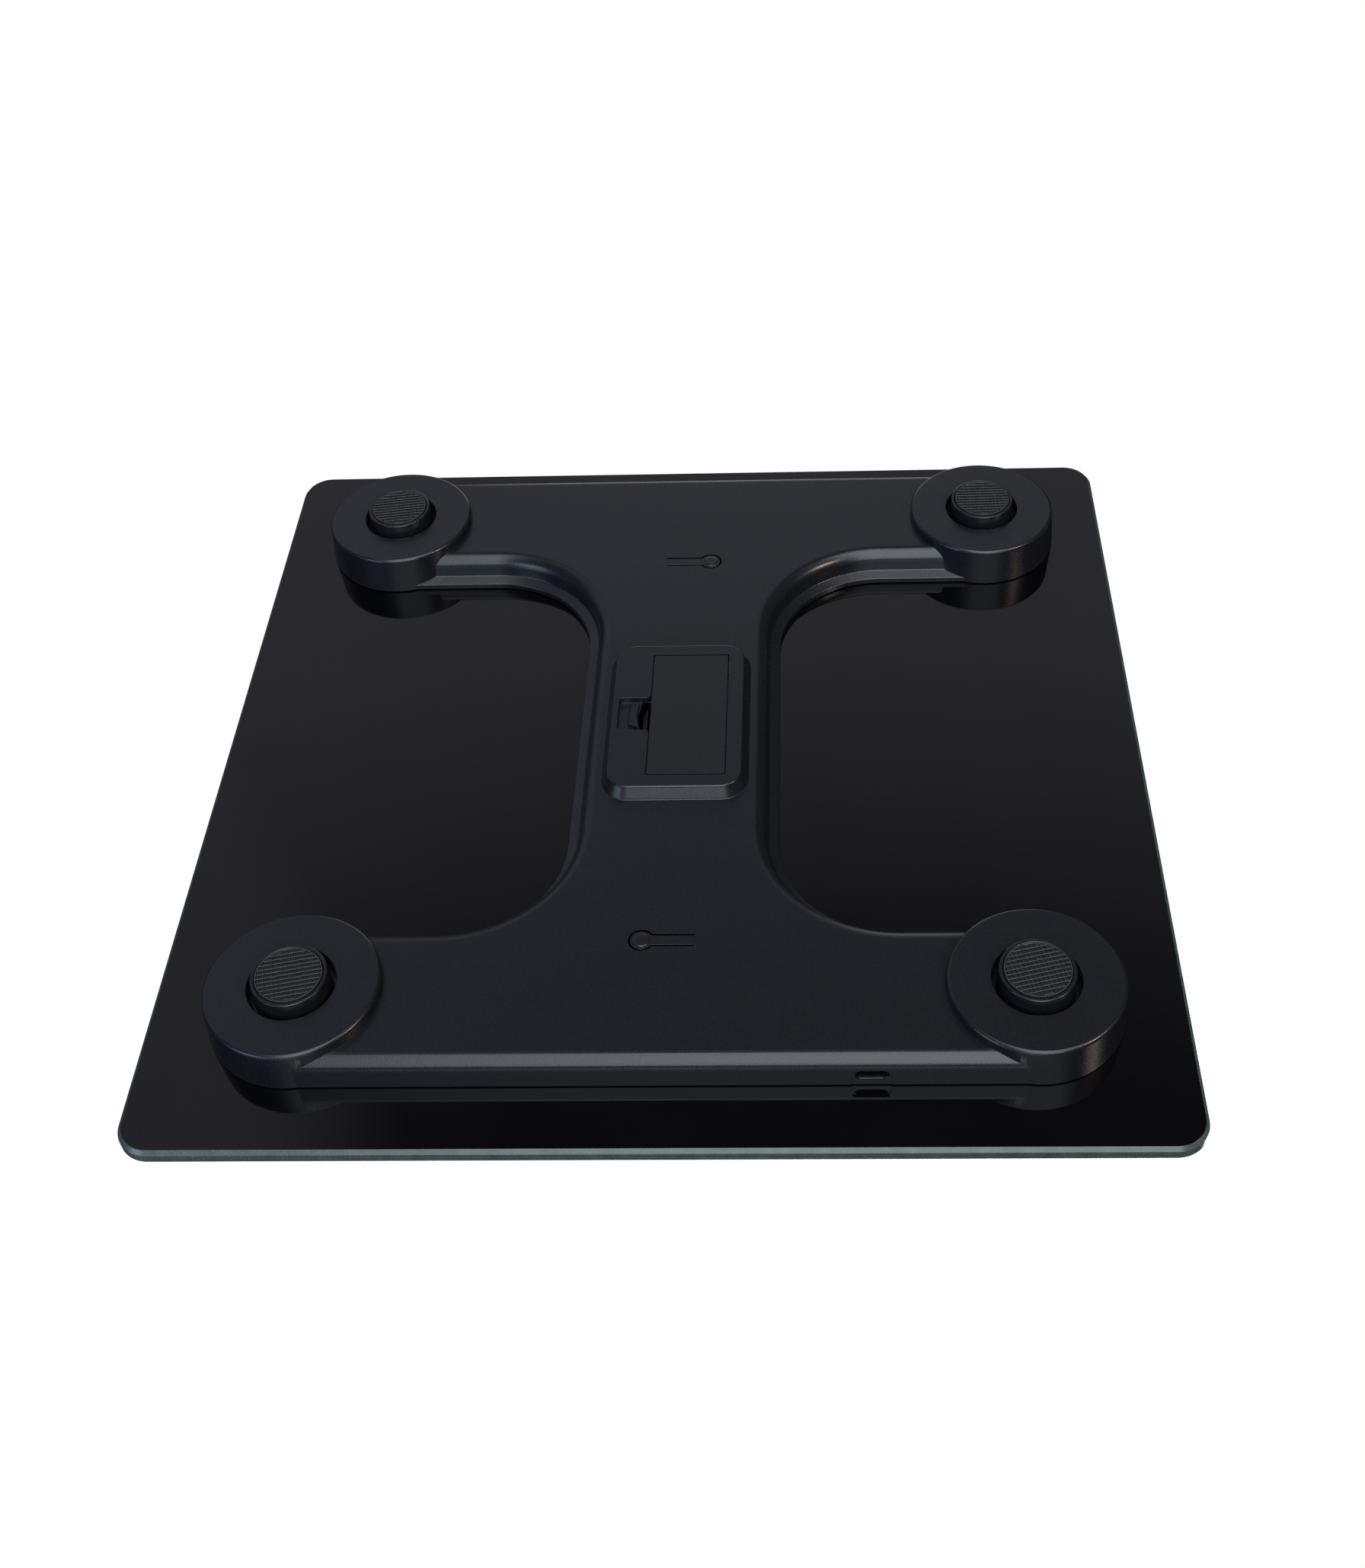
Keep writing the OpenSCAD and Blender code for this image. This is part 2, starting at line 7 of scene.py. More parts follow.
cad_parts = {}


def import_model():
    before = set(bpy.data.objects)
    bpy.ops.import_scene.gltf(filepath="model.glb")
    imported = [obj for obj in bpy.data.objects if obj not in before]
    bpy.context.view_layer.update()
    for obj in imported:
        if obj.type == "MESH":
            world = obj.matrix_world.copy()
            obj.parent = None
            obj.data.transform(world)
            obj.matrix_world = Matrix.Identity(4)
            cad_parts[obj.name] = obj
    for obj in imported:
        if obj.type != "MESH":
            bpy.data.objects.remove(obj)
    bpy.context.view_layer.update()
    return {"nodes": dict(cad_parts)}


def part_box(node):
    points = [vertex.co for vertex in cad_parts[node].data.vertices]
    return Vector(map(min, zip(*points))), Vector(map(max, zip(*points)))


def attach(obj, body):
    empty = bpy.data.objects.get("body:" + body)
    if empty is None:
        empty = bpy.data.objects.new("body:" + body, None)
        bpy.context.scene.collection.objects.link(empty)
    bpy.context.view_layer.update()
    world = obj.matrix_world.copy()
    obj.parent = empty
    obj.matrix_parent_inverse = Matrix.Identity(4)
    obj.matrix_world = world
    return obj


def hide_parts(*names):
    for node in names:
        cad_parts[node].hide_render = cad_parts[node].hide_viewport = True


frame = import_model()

# The shapes are drawn in millimetres with the scale lying face down on a bench: x to the right,
# y away from the socket edge, z up from the glass's painted face. PLACE turns them onto the feet.
MM = 0.001
PAINTED_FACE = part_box("glass_platform")[0].z
TURN = Matrix.Rotation(math.pi, 4, "X")
PLACE = Matrix.Translation((0, 0, PAINTED_FACE)) @ TURN @ Matrix.Scale(MM, 4)
CORNERS = {"fl": (-1, -1), "fr": (1, -1), "bl": (-1, 1), "br": (1, 1)}
BODY_OF_CORNER = {"fl": "foot_front_left", "fr": "foot_front_right",
                  "bl": "foot_back_left", "br": "foot_back_right"}


def bench_box(node):
    """A CAD node's lowest and highest corner in bench millimetres."""
    low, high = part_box(node)
    ends = [PLACE.inverted() @ low, PLACE.inverted() @ high]
    return Vector(map(min, *ends)), Vector(map(max, *ends))


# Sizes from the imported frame
GLASS_LOW, GLASS_HIGH = bench_box("glass_platform")
GLASS_W = GLASS_HIGH.x - GLASS_LOW.x
GLASS_T = GLASS_HIGH.z - GLASS_LOW.z
FOOT_LOW, FOOT_HIGH = bench_box("foot_pad_br")
FOOT_H = FOOT_HIGH.z
POD_PITCH = (FOOT_LOW.x + FOOT_HIGH.x) / 2
SHIFT = (FOOT_LOW.y + FOOT_HIGH.y) / 2 - POD_PITCH
PAD_R = (FOOT_HIGH.x - FOOT_LOW.x) / 2
DOOR_LOW, DOOR_HIGH = bench_box("battery_door")
PLATEAU_H = DOOR_HIGH.z
DOOR_L = DOOR_HIGH.y - DOOR_LOW.y
BAY_Y = (DOOR_HIGH.y + DOOR_LOW.y) / 2

# Driving sizes of the frame, as the CAD has them
GLASS_R = 9.5
GLASS_BEVEL = 1.1
POD_BASE_R = 25.4
POD_TOP_R = 24.6
POD_H = 13.8
POD_EDGE_R = 1.1
FRAME_H = 10.6
SHOULDER_R = 4.4
COLUMN_HALF = 31.8
BEAM_INNER = 77.8
BEAM_OUTER = 127.2
BAY_R = 34.5
LEDGE_W = 3.2
LEDGE_H = 2.4
LEDGE_RISE = 1.2
WALL_T = 2.0
WALL_DRAFT = 0.4
SHELL_Z = 0.7
PLATEAU_W = 40.8
PLATEAU_L = 62.0
PLATEAU_R = 6.5
PLATEAU_SLOPE = 2.2
DOOR_X = 3.5
DOOR_W = 23.7
DOOR_T = 1.5
HOLE_R = 12.3
FOOT_R = 10.6
RIDGES = 13
USB_X = 56.7
USB_Z = 4.45
USB_W = 8.94
USB_H = 3.26
USB_L = 7.3
USB_RECESS = 0.6
KEY_R = 3.15
KEY_ARM = 3.15
KEY_L = 15.1
KEY_SLIT = 0.6
KEY_T = 1.2
UNIT_AT = (-6.8, -83.4, 1)
ZERO_AT = (8.0, 80.8, -1)
WELL_W = 21.9
WELL_L = 50.4
WELL_WALL = 1.2
WELL_FLOOR = 0.9
BOARD_Z = 6.1
LUG_DY = 16.0
LUG_W = 6.0
NOTCH_X = -18.6
NOTCH_W = 14.2
CATCH_X = -11.55
PLATE_TOP_Z = 6.9
STEM_Z = 9.0
CUP_DEPTH = 3.0

# Only for the looks: the CAD's gap round the door is 0.16, too thin to show as in the photo
DOOR_GAP = 0.32
BAY_STEPS = 28
ROUND_STEPS = 96

# Worked out from the sizes above
BAY_CX = COLUMN_HALF + BAY_R
BAY_CY = BEAM_INNER - BAY_R
WALL_TOP = FRAME_H - SHOULDER_R
CEILING = FRAME_H - WALL_T
POD_CEILING = POD_H - WALL_T
DOOR_Z = PLATEAU_H - DOOR_T
HINGE_X = DOOR_X + DOOR_W / 2
DOOR_EDGE_X = DOOR_X - DOOR_W / 2
NOTCH_FLOOR = PLATEAU_H - 2.3
CUP_RIM_Z = FOOT_H - 0.5
PAD_BASE = CUP_RIM_Z - CUP_DEPTH


# ---------------------------------------------------------------- outlines

def arc(cx, cy, r, start, end, steps):
    """Points along a circular arc, angles in degrees."""
    angles = [math.radians(start + (end - start) * i / steps) for i in range(steps + 1)]
    return [(cx + r * math.cos(a), cy + r * math.sin(a)) for a in angles]


def rounded(corners, steps=4, closed=False):
    """A 2D line through corners (x, y, radius), with each corner rounded by a tangent arc."""
    out = []
    count = len(corners)
    for i, (x, y, r) in enumerate(corners):
        inside = closed or 0 < i < count - 1
        if r <= 0 or not inside:
            out.append((x, y))
            continue
        here = Vector((x, y))
        back = (Vector(corners[i - 1][:2]) - here).normalized()
        ahead = (Vector(corners[(i + 1) % count][:2]) - here).normalized()
        half = back.angle(ahead) / 2
        reach = r / math.tan(half)
        centre = here + (back + ahead).normalized() * (r / math.sin(half))
        first = here + back * reach - centre
        last = here + ahead * reach - centre
        sweep = first.angle_signed(last)
        for k in range(steps + 1):
            spin = Matrix.Rotation(-sweep * k / steps, 2)
            p = centre + spin @ first
            out.append((p.x, p.y))
    return out


def rounded_rect(w, d, r, steps=8):
    """Anticlockwise outline of a rounded rectangle round the origin."""
    out = []
    for i, (sx, sy) in enumerate([(1, 1), (-1, 1), (-1, -1), (1, -1)]):
        out += arc(sx * (w / 2 - r), sy * (d / 2 - r), r, 90 * i, 90 * i + 90, steps)
    return out


def edge_flare(top, r, steps=4):
    """(growth, height) steps of a cutter that leaves a rounded rim of radius r at height top."""
    curve = [(r * (1 - math.cos(math.radians(90 * i / steps))),
              top - r + r * math.sin(math.radians(90 * i / steps))) for i in range(steps + 1)]
    return curve + [(r + 0.3, top + 0.3)]


# ---------------------------------------------------------------- solids

def new_object(name, bm):
    mesh = bpy.data.meshes.new(name)
    bmesh.ops.recalc_face_normals(bm, faces=bm.faces)
    bm.to_mesh(mesh)
    bm.free()
    obj = bpy.data.objects.new(name, mesh)
    bpy.context.scene.collection.objects.link(obj)
    return obj


def loft_into(bm, rings, capped=True, looped=False):
    """Joins closed rings of points, one after the other, and caps the ends or loops them."""
    rows = [[bm.verts.new(p) for p in ring] for ring in rings]
    count = len(rows[0])
    pairs = list(zip(rows, rows[1:]))
    if looped:
        pairs.append((rows[-1], rows[0]))
    for a, b in pairs:
        for i in range(count):
            j = (i + 1) % count
            bm.faces.new((a[i], a[j], b[j], b[i]))
    if capped and not looped:
        bm.faces.new(rows[0])
        bm.faces.new(rows[-1])


def stack_into(bm, outlines, move=(0, 0)):
    """Lofts (outline, height) pairs into a closed solid."""
    loft_into(bm, [[(x + move[0], y + move[1], z) for x, y in line] for line, z in outlines])


def revolve_into(bm, profile, move=(0, 0), steps=ROUND_STEPS):
    """Turns a closed (radius, height) profile round a vertical axis; radius 0 closes on the axis."""
    on_axis = [p for p in profile if p[0] <= 0]
    rim = [p for p in profile if p[0] > 0]
    angles = [2 * math.pi * i / steps for i in range(steps)]
    rows = [[bm.verts.new((move[0] + r * math.cos(a), move[1] + r * math.sin(a), z))
             for a in angles] for r, z in rim]
    pairs = list(zip(rows, rows[1:]))
    if not on_axis:
        pairs.append((rows[-1], rows[0]))
    for a, b in pairs:
        for i in range(steps):
            j = (i + 1) % steps
            bm.faces.new((a[i], a[j], b[j], b[i]))
    if on_axis:
        bm.faces.new(rows[0])
        bm.faces.new(rows[-1])


def revolved(name, profile, steps=ROUND_STEPS):
    """One object turned round the vertical axis."""
    bm = bmesh.new()
    revolve_into(bm, profile, steps=steps)
    return new_object(name, bm)


def box_into(bm, x0, x1, y0, y1, z0, z1):
    loft_into(bm, [[(x0, y0, z), (x1, y0, z), (x1, y1, z), (x0, y1, z)] for z in (z0, z1)])


def boxes(name, *sizes):
    """One object made of plain boxes, used as a tool for a cut or a join."""
    bm = bmesh.new()
    for size in sizes:
        box_into(bm, *size)
    return new_object(name, bm)


def eased_box(name, x0, x1, y0, y1, z0, z1, bevel=0.2, segments=3):
    """A box with rounded edges."""
    bm = bmesh.new()
    box_into(bm, x0, x1, y0, y1, z0, z1)
    bmesh.ops.bevel(bm, geom=bm.edges[:], offset=bevel, segments=segments, profile=0.5,
                    affect="EDGES")
    return new_object(name, bm)


def stacked(name, outlines, move=(0, 0)):
    """One object lofted through (outline, height) pairs."""
    bm = bmesh.new()
    stack_into(bm, outlines, move)
    return new_object(name, bm)


def each_pod(name, build):
    """One object with what build(bm, x, y) draws at each pod's centre."""
    bm = bmesh.new()
    for sx, sy in CORNERS.values():
        build(bm, sx * POD_PITCH, SHIFT + sy * POD_PITCH)
    return new_object(name, bm)


def at_pod(corner):
    """Moves a piece drawn round the origin to a pod's centre."""
    sx, sy = CORNERS[corner]
    return Matrix.Translation((sx * POD_PITCH, SHIFT + sy * POD_PITCH, 0))


def smooth_shaded_side(obj, upright_only=False):
    """Marks faces for the second material, the smooth walls that a slit or gap leaves, which are
    painted darker as shade.
    """
    for face in obj.data.polygons:
        if not upright_only or abs(face.normal.z) < 0.3:
            face.material_index = 1
    return obj


def carve(base, steps):
    """Applies boolean steps (operation, tool) to base in order, and removes the tools."""
    for obj in [base] + [tool for _, tool in steps]:
        while len(obj.data.materials) < 2:
            obj.data.materials.append(None)
    for operation, tool in steps:
        cut = base.modifiers.new("cut", "BOOLEAN")
        cut.operation = operation
        cut.solver = "MANIFOLD"
        cut.material_mode = "INDEX"
        cut.object = tool
    graph = bpy.context.evaluated_depsgraph_get()
    made = bpy.data.meshes.new_from_object(base.evaluated_get(graph))
    old = base.data
    base.modifiers.clear()
    base.data = made
    bpy.data.meshes.remove(old)
    for tool in {t.name: t for _, t in steps}.values():
        mesh = tool.data
        bpy.data.objects.remove(tool)
        bpy.data.meshes.remove(mesh)
    return base


def settle(obj, material, body, replaced=(), sharp=26, move=None):
    """Turns a bench-millimetre object into a finished piece that rides on a body."""
    mesh = obj.data
    if move is not None:
        mesh.transform(move)
    mesh.transform(PLACE)
    bm = bmesh.new()
    bm.from_mesh(mesh)
    bmesh.ops.remove_doubles(bm, verts=bm.verts, dist=0.004 * MM)
    bm.to_mesh(mesh)
    bm.free()
    materials = material if isinstance(material, (list, tuple)) else [material]
    indices = [face.material_index for face in mesh.polygons]
    mesh.materials.clear()
    for m in materials:
        mesh.materials.append(m)
    mesh.polygons.foreach_set("material_index", [min(i, len(materials) - 1) for i in indices])
    mesh.shade_smooth()
    mesh.set_sharp_from_angle(angle=math.radians(sharp))
    normals = obj.modifiers.new("normals", "WEIGHTED_NORMAL")
    normals.keep_sharp = True
    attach(obj, body)
    if replaced:
        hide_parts(*replaced)
    return obj


# ---------------------------------------------------------------- materials

def map_range(tree, value, start, end, low=0.0, high=1.0, smooth=False):
    """Output that goes from low to high while value goes from start to end."""
    span = tree.nodes.new("ShaderNodeMapRange")
    if smooth:
        span.interpolation_type = "SMOOTHSTEP"
    ends = {"From Min": start, "From Max": end, "To Min": low, "To Max": high}
    for socket, number in ends.items():
        span.inputs[socket].default_value = number
    tree.links.new(value, span.inputs["Value"])
    return span.outputs["Result"]


class Finish:
    """A Principled material whose colour, gloss and relief come from procedural noise."""

    def __init__(self, name, **sockets):
        self.material = bpy.data.materials.new(name)
        self.material.use_nodes = True
        self.tree = self.material.node_tree
        self.nodes = self.tree.nodes
        self.links = self.tree.links
        self.shader = self.nodes["Principled BSDF"]
        self.place = self.nodes.new("ShaderNodeTexCoord").outputs["Object"]
        for socket, value in sockets.items():
            self.shader.inputs[socket.replace("_", " ")].default_value = value

    def noise(self, size_mm, detail=3.0, stretch=(1, 1, 1)):
        """Noise whose features are about size_mm across."""
        node = self.nodes.new("ShaderNodeTexNoise")
        node.inputs["Scale"].default_value = 1 / (size_mm * MM)
        node.inputs["Detail"].default_value = detail
        if stretch == (1, 1, 1):
            self.links.new(self.place, node.inputs["Vector"])
        else:
            mapping = self.nodes.new("ShaderNodeMapping")
            mapping.inputs["Scale"].default_value = stretch
            self.links.new(self.place, mapping.inputs["Vector"])
            self.links.new(mapping.outputs["Vector"], node.inputs["Vector"])
        return node.outputs["Fac"]

    def tint(self, dark, light, factor, low=0.35, high=0.65):
        """Colour between two values, following a noise factor."""
        ramp = self.nodes.new("ShaderNodeValToRGB")
        ramp.color_ramp.elements[0].position = low
        ramp.color_ramp.elements[0].color = (*dark, 1)
        ramp.color_ramp.elements[1].position = high
        ramp.color_ramp.elements[1].color = (*light, 1)
        self.links.new(factor, ramp.inputs["Fac"])
        self.links.new(ramp.outputs["Color"], self.shader.inputs["Base Color"])
        return self

    def gloss(self, smooth, rough, factor):
        """Roughness between two values, following a noise factor."""
        spread = map_range(self.tree, factor, 0.3, 0.7, smooth, rough)
        self.links.new(spread, self.shader.inputs["Roughness"])
        return self

    def relief(self, *layers):
        """Stacked bumps, each (height factor, depth in mm)."""
        last = None
        for factor, depth_mm in layers:
            bump = self.nodes.new("ShaderNodeBump")
            bump.inputs["Distance"].default_value = depth_mm * MM
            self.links.new(factor, bump.inputs["Height"])
            if last is not None:
                self.links.new(last, bump.inputs["Normal"])
            last = bump.outputs["Normal"]
        self.links.new(last, self.shader.inputs["Normal"])
        return self


def satin_plastic(name, dark, light):
    """Black moulded plastic with a fine spark-eroded grain."""
    f = Finish(name, IOR=1.5)
    f.tint(dark, light, f.noise(0.8, 3))
    f.gloss(0.25, 0.31, f.noise(0.5, 3))
    f.relief((f.noise(0.35, 2), 0.018))
    return f.material


def slit_plastic_painted_shade():
    """Plastic for the walls of slits and gaps: smoother where the mould had no texture, and coloured
    about half as dark as the shell as painted shade inside them.
    """
    f = Finish("slit_plastic_painted_shade", IOR=1.4)
    # Painted shade: these walls are coloured darker than the shell plastic to stand for the shade in
    # slits and gaps.
    f.tint((0.0022, 0.0023, 0.0026), (0.004, 0.0042, 0.0046), f.noise(0.8, 3))
    f.gloss(0.12, 0.2, f.noise(0.5, 3))
    f.relief((f.noise(0.6, 2), 0.002))
    return f.material


def printed_enamel():
    """Glossy black print on the back of the glass, with a trace of orange peel."""
    f = Finish("printed_enamel", IOR=1.5)
    f.tint((0.0012, 0.0012, 0.0015), (0.002, 0.002, 0.0025), f.noise(30, 3))
    f.gloss(0.03, 0.07, f.noise(12, 4))
    f.relief((f.noise(2.5, 2), 0.0004))
    return f.material


def clear_glass():
    f = Finish("clear_glass", IOR=1.52)
    f.shader.inputs["Transmission Weight"].default_value = 1.0
    f.tint((0.86, 0.93, 0.9), (0.9, 0.95, 0.93), f.noise(60, 2))
    f.gloss(0.0, 0.02, f.noise(25, 4))
    return f.material


def ground_glass():
    """Fine-ground edge of the glass, with faint grinding lines along it."""
    f = Finish("ground_glass", IOR=1.52)
    f.tint((0.042, 0.056, 0.056), (0.06, 0.077, 0.077), f.noise(5, 5))
    f.gloss(0.2, 0.3, f.noise(0.7, 3))
    f.relief((f.noise(0.25, 3), 0.006))
    return f.material


def foam_tape():
    f = Finish("foam_tape")
    f.tint((0.004, 0.004, 0.0045), (0.011, 0.011, 0.012), f.noise(0.6, 4))
    f.gloss(0.75, 0.95, f.noise(1, 3))
    f.relief((f.noise(0.2, 3), 0.03))
    return f.material


def tread_rubber():
    """Black rubber, lighter towards the tops of the ridges: a painted highlight along with wear."""
    f = Finish("tread_rubber", IOR=1.5)
    split = f.nodes.new("ShaderNodeSeparateXYZ")
    f.links.new(f.place, split.inputs["Vector"])
    ground = PAINTED_FACE - FOOT_H * MM
    highlight_wear_depth = 0.35 * MM
    # Painted highlight along with wear: the rubber is coloured lighter within 0.35 mm of the ridge
    # tops, where light catches them.
    ridge_highlight_and_wear = map_range(f.tree, split.outputs["Z"], ground + highlight_wear_depth, ground)
    patchy_highlight_and_wear = f.nodes.new("ShaderNodeMath")
    patchy_highlight_and_wear.operation = "MULTIPLY"
    f.links.new(ridge_highlight_and_wear, patchy_highlight_and_wear.inputs[0])
    f.links.new(f.noise(1.5, 5), patchy_highlight_and_wear.inputs[1])
    f.tint((0.008, 0.009, 0.0095), (0.048, 0.052, 0.055), patchy_highlight_and_wear.outputs["Value"], 0.05, 0.75)
    f.gloss(0.42, 0.62, f.noise(0.8, 4))
    f.relief((f.noise(0.3, 3), 0.01), (f.noise(1.2, 2), 0.02))
    return f.material


def tray_plastic():
    f = Finish("tray_plastic")
    f.tint((0.56, 0.56, 0.52), (0.66, 0.66, 0.61), f.noise(7, 4))
    f.gloss(0.38, 0.52, f.noise(2, 3))
    f.relief((f.noise(0.5, 3), 0.01))
    return f.material


def metal(name, dark, light, smooth, rough, grain_mm=1.2, stretch=(1, 1, 1)):
    f = Finish(name, Metallic=1.0)
    f.tint(dark, light, f.noise(grain_mm * 3, 4, stretch))
    f.gloss(smooth, rough, f.noise(grain_mm, 4, stretch))
    f.relief((f.noise(grain_mm / 2, 3, stretch), 0.003))
    return f.material


def solder_mask():
    """Black board with a faint copper pattern under the mask."""
    f = Finish("solder_mask", IOR=1.5)
    brick = f.nodes.new("ShaderNodeTexBrick")
    brick.inputs["Scale"].default_value = 1 / (9 * MM)
    brick.inputs["Mortar Size"].default_value = 0.03
    brick.inputs["Color1"].default_value = (0.006, 0.008, 0.008, 1)
    brick.inputs["Color2"].default_value = (0.009, 0.012, 0.011, 1)
    brick.inputs["Mortar"].default_value = (0.02, 0.025, 0.022, 1)
    f.links.new(f.place, brick.inputs["Vector"])
    f.links.new(brick.outputs["Color"], f.shader.inputs["Base Color"])
    f.gloss(0.2, 0.32, f.noise(3, 3))
    f.relief((brick.outputs["Fac"], 0.03))
    return f.material


def package_plastic(name, dark, light, rough=0.5):
    f = Finish(name)
    f.tint(dark, light, f.noise(0.9, 4))
    f.gloss(rough - 0.08, rough + 0.08, f.noise(0.5, 3))
    f.relief((f.noise(0.15, 3), 0.006))
    return f.material


def cell_jacket():
    """Printed metal jacket in two plain bands along the cell."""
    f = Finish("cell_jacket", Metallic=0.7)
    split = f.nodes.new("ShaderNodeSeparateXYZ")
    f.links.new(f.place, split.inputs["Vector"])
    edge = -(BAY_Y + 8) * MM
    blur = 0.1 * MM
    side = map_range(f.tree, split.outputs["Y"], edge - blur, edge + blur)
    f.tint((0.045, 0.11, 0.17), (0.5, 0.51, 0.52), side, 0.0, 1.0)
    f.gloss(0.22, 0.34, f.noise(1.5, 4, (1, 0.2, 1)))
    f.relief((f.noise(0.6, 3, (1, 0.1, 1)), 0.004))
    return f.material


def smoked_filter():
    f = Finish("smoked_filter", IOR=1.49)
    f.shader.inputs["Transmission Weight"].default_value = 0.9
    f.tint((0.06, 0.065, 0.07), (0.075, 0.08, 0.085), f.noise(8, 2))
    f.gloss(0.04, 0.09, f.noise(6, 3))
    return f.material


# ---------------------------------------------------------------- frame

def pad_profile(profile, count):
    """Adds points along a profile's first stretch until it has count points."""
    extra = count - len(profile)
    (d0, z0), (d1, z1) = profile[0], profile[1]
    added = [(d0 + (d1 - d0) * i / (extra + 1), z0 + (z1 - z0) * i / (extra + 1))
             for i in range(1, extra + 1)]
    return [profile[0]] + added + profile[1:]


def shoulder(start, steps=12):
    """Quarter round from a wall's top up to the frame's flat top."""
    angles = [math.radians(90 * i / steps) for i in range(1, steps + 1)]
    return [(start + SHOULDER_R * (1 - math.cos(a)), WALL_TOP + SHOULDER_R * math.sin(a))
            for a in angles]


def h_ring(inner, outer):
    """Outline of the H. inner and outer are (distance in from the edge, height)."""
    out_y = BEAM_OUTER - outer[0]
    in_y = BEAM_INNER + inner[0]
    r = BAY_R + inner[0]
    bay = arc(BAY_CX, -BAY_CY, r, 270, 180, BAY_STEPS) + arc(BAY_CX, BAY_CY, r, 180, 90, BAY_STEPS)
    side = [(POD_PITCH, -in_y)] + bay + [(POD_PITCH, in_y)]
    half = [(POD_PITCH, -out_y, outer[1])]
    half += [(x, y, inner[1]) for x, y in side]
    half += [(POD_PITCH, out_y, outer[1])]
    ring = half + [(-x, -y, z) for x, y, z in half]
    return [(x, y + SHIFT, z) for x, y, z in ring]


def h_solid(name, inner, outer):
    """Solid H between its bay profile and its outer profile."""
    count = max(len(inner), len(outer))
    inner = pad_profile(inner, count) if len(inner) < count else inner
    outer = pad_profile(outer, count) if len(outer) < count else outer
    bm = bmesh.new()
    loft_into(bm, [h_ring(i, o) for i, o in zip(inner, outer)])
    return new_object(name, bm)


def h_skin():
    """Outside of the H, with the stepped ledge along the bays."""
    ledge_top = LEDGE_H + LEDGE_RISE
    inner = rounded([(0, SHELL_Z, 0), (0, LEDGE_H, 0.35), (LEDGE_W, ledge_top, 0.45),
                     (LEDGE_W + WALL_DRAFT, WALL_TOP, 0)])
    inner += shoulder(LEDGE_W + WALL_DRAFT)
    outer = [(0, SHELL_Z), (WALL_DRAFT, WALL_TOP)] + shoulder(WALL_DRAFT)
    return h_solid("h_skin", inner, outer)


def h_core():
    bevel = 2.2
    low = SHELL_Z - 1
    inner_d = LEDGE_W + WALL_T
    outer_d = WALL_DRAFT + WALL_T
    inner = [(inner_d, low), (inner_d, CEILING - bevel), (inner_d + bevel, CEILING)]
    outer = [(outer_d, low), (outer_d, CEILING - bevel), (outer_d + bevel, CEILING)]
    return h_solid("h_core", inner, outer)


def pod_skin(bm, x, y):
    rim = [(POD_TOP_R - POD_EDGE_R + px, POD_H - POD_EDGE_R + pz)
           for px, pz in arc(0, 0, POD_EDGE_R, 0, 90, 8)]
    revolve_into(bm, [(0, SHELL_Z), (POD_BASE_R, SHELL_Z)] + rim + [(0, POD_H)], (x, y))


def pod_core(bm, x, y):
    low = SHELL_Z - 1
    revolve_into(bm, [(0, low), (POD_BASE_R - WALL_T, low), (POD_TOP_R - WALL_T, POD_CEILING),
                      (0, POD_CEILING)], (x, y), 64)


def pod_rib(bm, x, y):
    """Ring under a pod's roof that holds the load cell down."""
    outer_r, inner_r = 17.6, 16.2
    top = POD_CEILING + 0.2
    revolve_into(bm, [(outer_r, PLATE_TOP_Z), (outer_r, top), (inner_r, top),
                      (inner_r, PLATE_TOP_Z)], (x, y), 64)


def foot_hole(bm, x, y):
    rim = [(HOLE_R + grow, z) for grow, z in edge_flare(POD_H, 0.35)]
    revolve_into(bm, [(0, BOARD_Z), (HOLE_R, BOARD_Z)] + rim + [(0, rim[-1][1])], (x, y))


def plateau_skin():
    """Raised block over the batteries: sloped sides, a soft top edge and a small root fillet."""
    edge = 0.6
    root = 0.45
    run = PLATEAU_H - edge - FRAME_H
    lean = PLATEAU_SLOPE / run
    profile = [(PLATEAU_SLOPE + root + 0.3, FRAME_H - 1.5), (PLATEAU_SLOPE + root + 0.3, FRAME_H)]
    for i in range(5):
        t = i / 4
        profile.append((PLATEAU_SLOPE - lean * root + root * (1 - t) ** 2,
                        FRAME_H + 0.01 + root * t * t))
    profile.append((0.3, PLATEAU_H - edge))
    for px, pz in arc(0, 0, edge, 0, 90, 6)[1:]:
        profile.append((px - edge + 0.3, PLATEAU_H - edge + pz))
    return stacked("plateau", [
        (rounded_rect(PLATEAU_W + 2 * g, PLATEAU_L + 2 * g, PLATEAU_R + g, 12), z)
        for g, z in profile], (0, BAY_Y))


def plateau_core():
    return boxes("plateau_core", (
        -PLATEAU_W / 2 + WALL_T, PLATEAU_W / 2 - WALL_T, BAY_Y - PLATEAU_L / 2 + WALL_T,
        BAY_Y + PLATEAU_L / 2 - WALL_T, BOARD_Z, PLATEAU_H - WALL_T))


def well(name, grow, z0, z1):
    """The battery well in plan, grown by grow, between two heights."""
    return boxes(name, (
        DOOR_X - WELL_W / 2 - grow, DOOR_X + WELL_W / 2 + grow,
        BAY_Y - WELL_L / 2 - grow, BAY_Y + WELL_L / 2 + grow, z0, z1))


def notch_block():
    return boxes("notch_block", (
        NOTCH_X - WELL_WALL, DOOR_EDGE_X, BAY_Y - NOTCH_W / 2 - WELL_WALL,
        BAY_Y + NOTCH_W / 2 + WELL_WALL, 10.9, PLATEAU_H - 1))


def door_recess():
    w = DOOR_W + 2 * DOOR_GAP
    d = DOOR_L + 2 * DOOR_GAP
    levels = [(0, DOOR_Z - 0.2)] + edge_flare(PLATEAU_H, 0.04, 2)
    lines = [(rounded_rect(w + 2 * g, d + 2 * g, 0.5 + g, 4), z) for g, z in levels]
    return smooth_shaded_side(stacked("recess", lines, (DOOR_X, BAY_Y)))


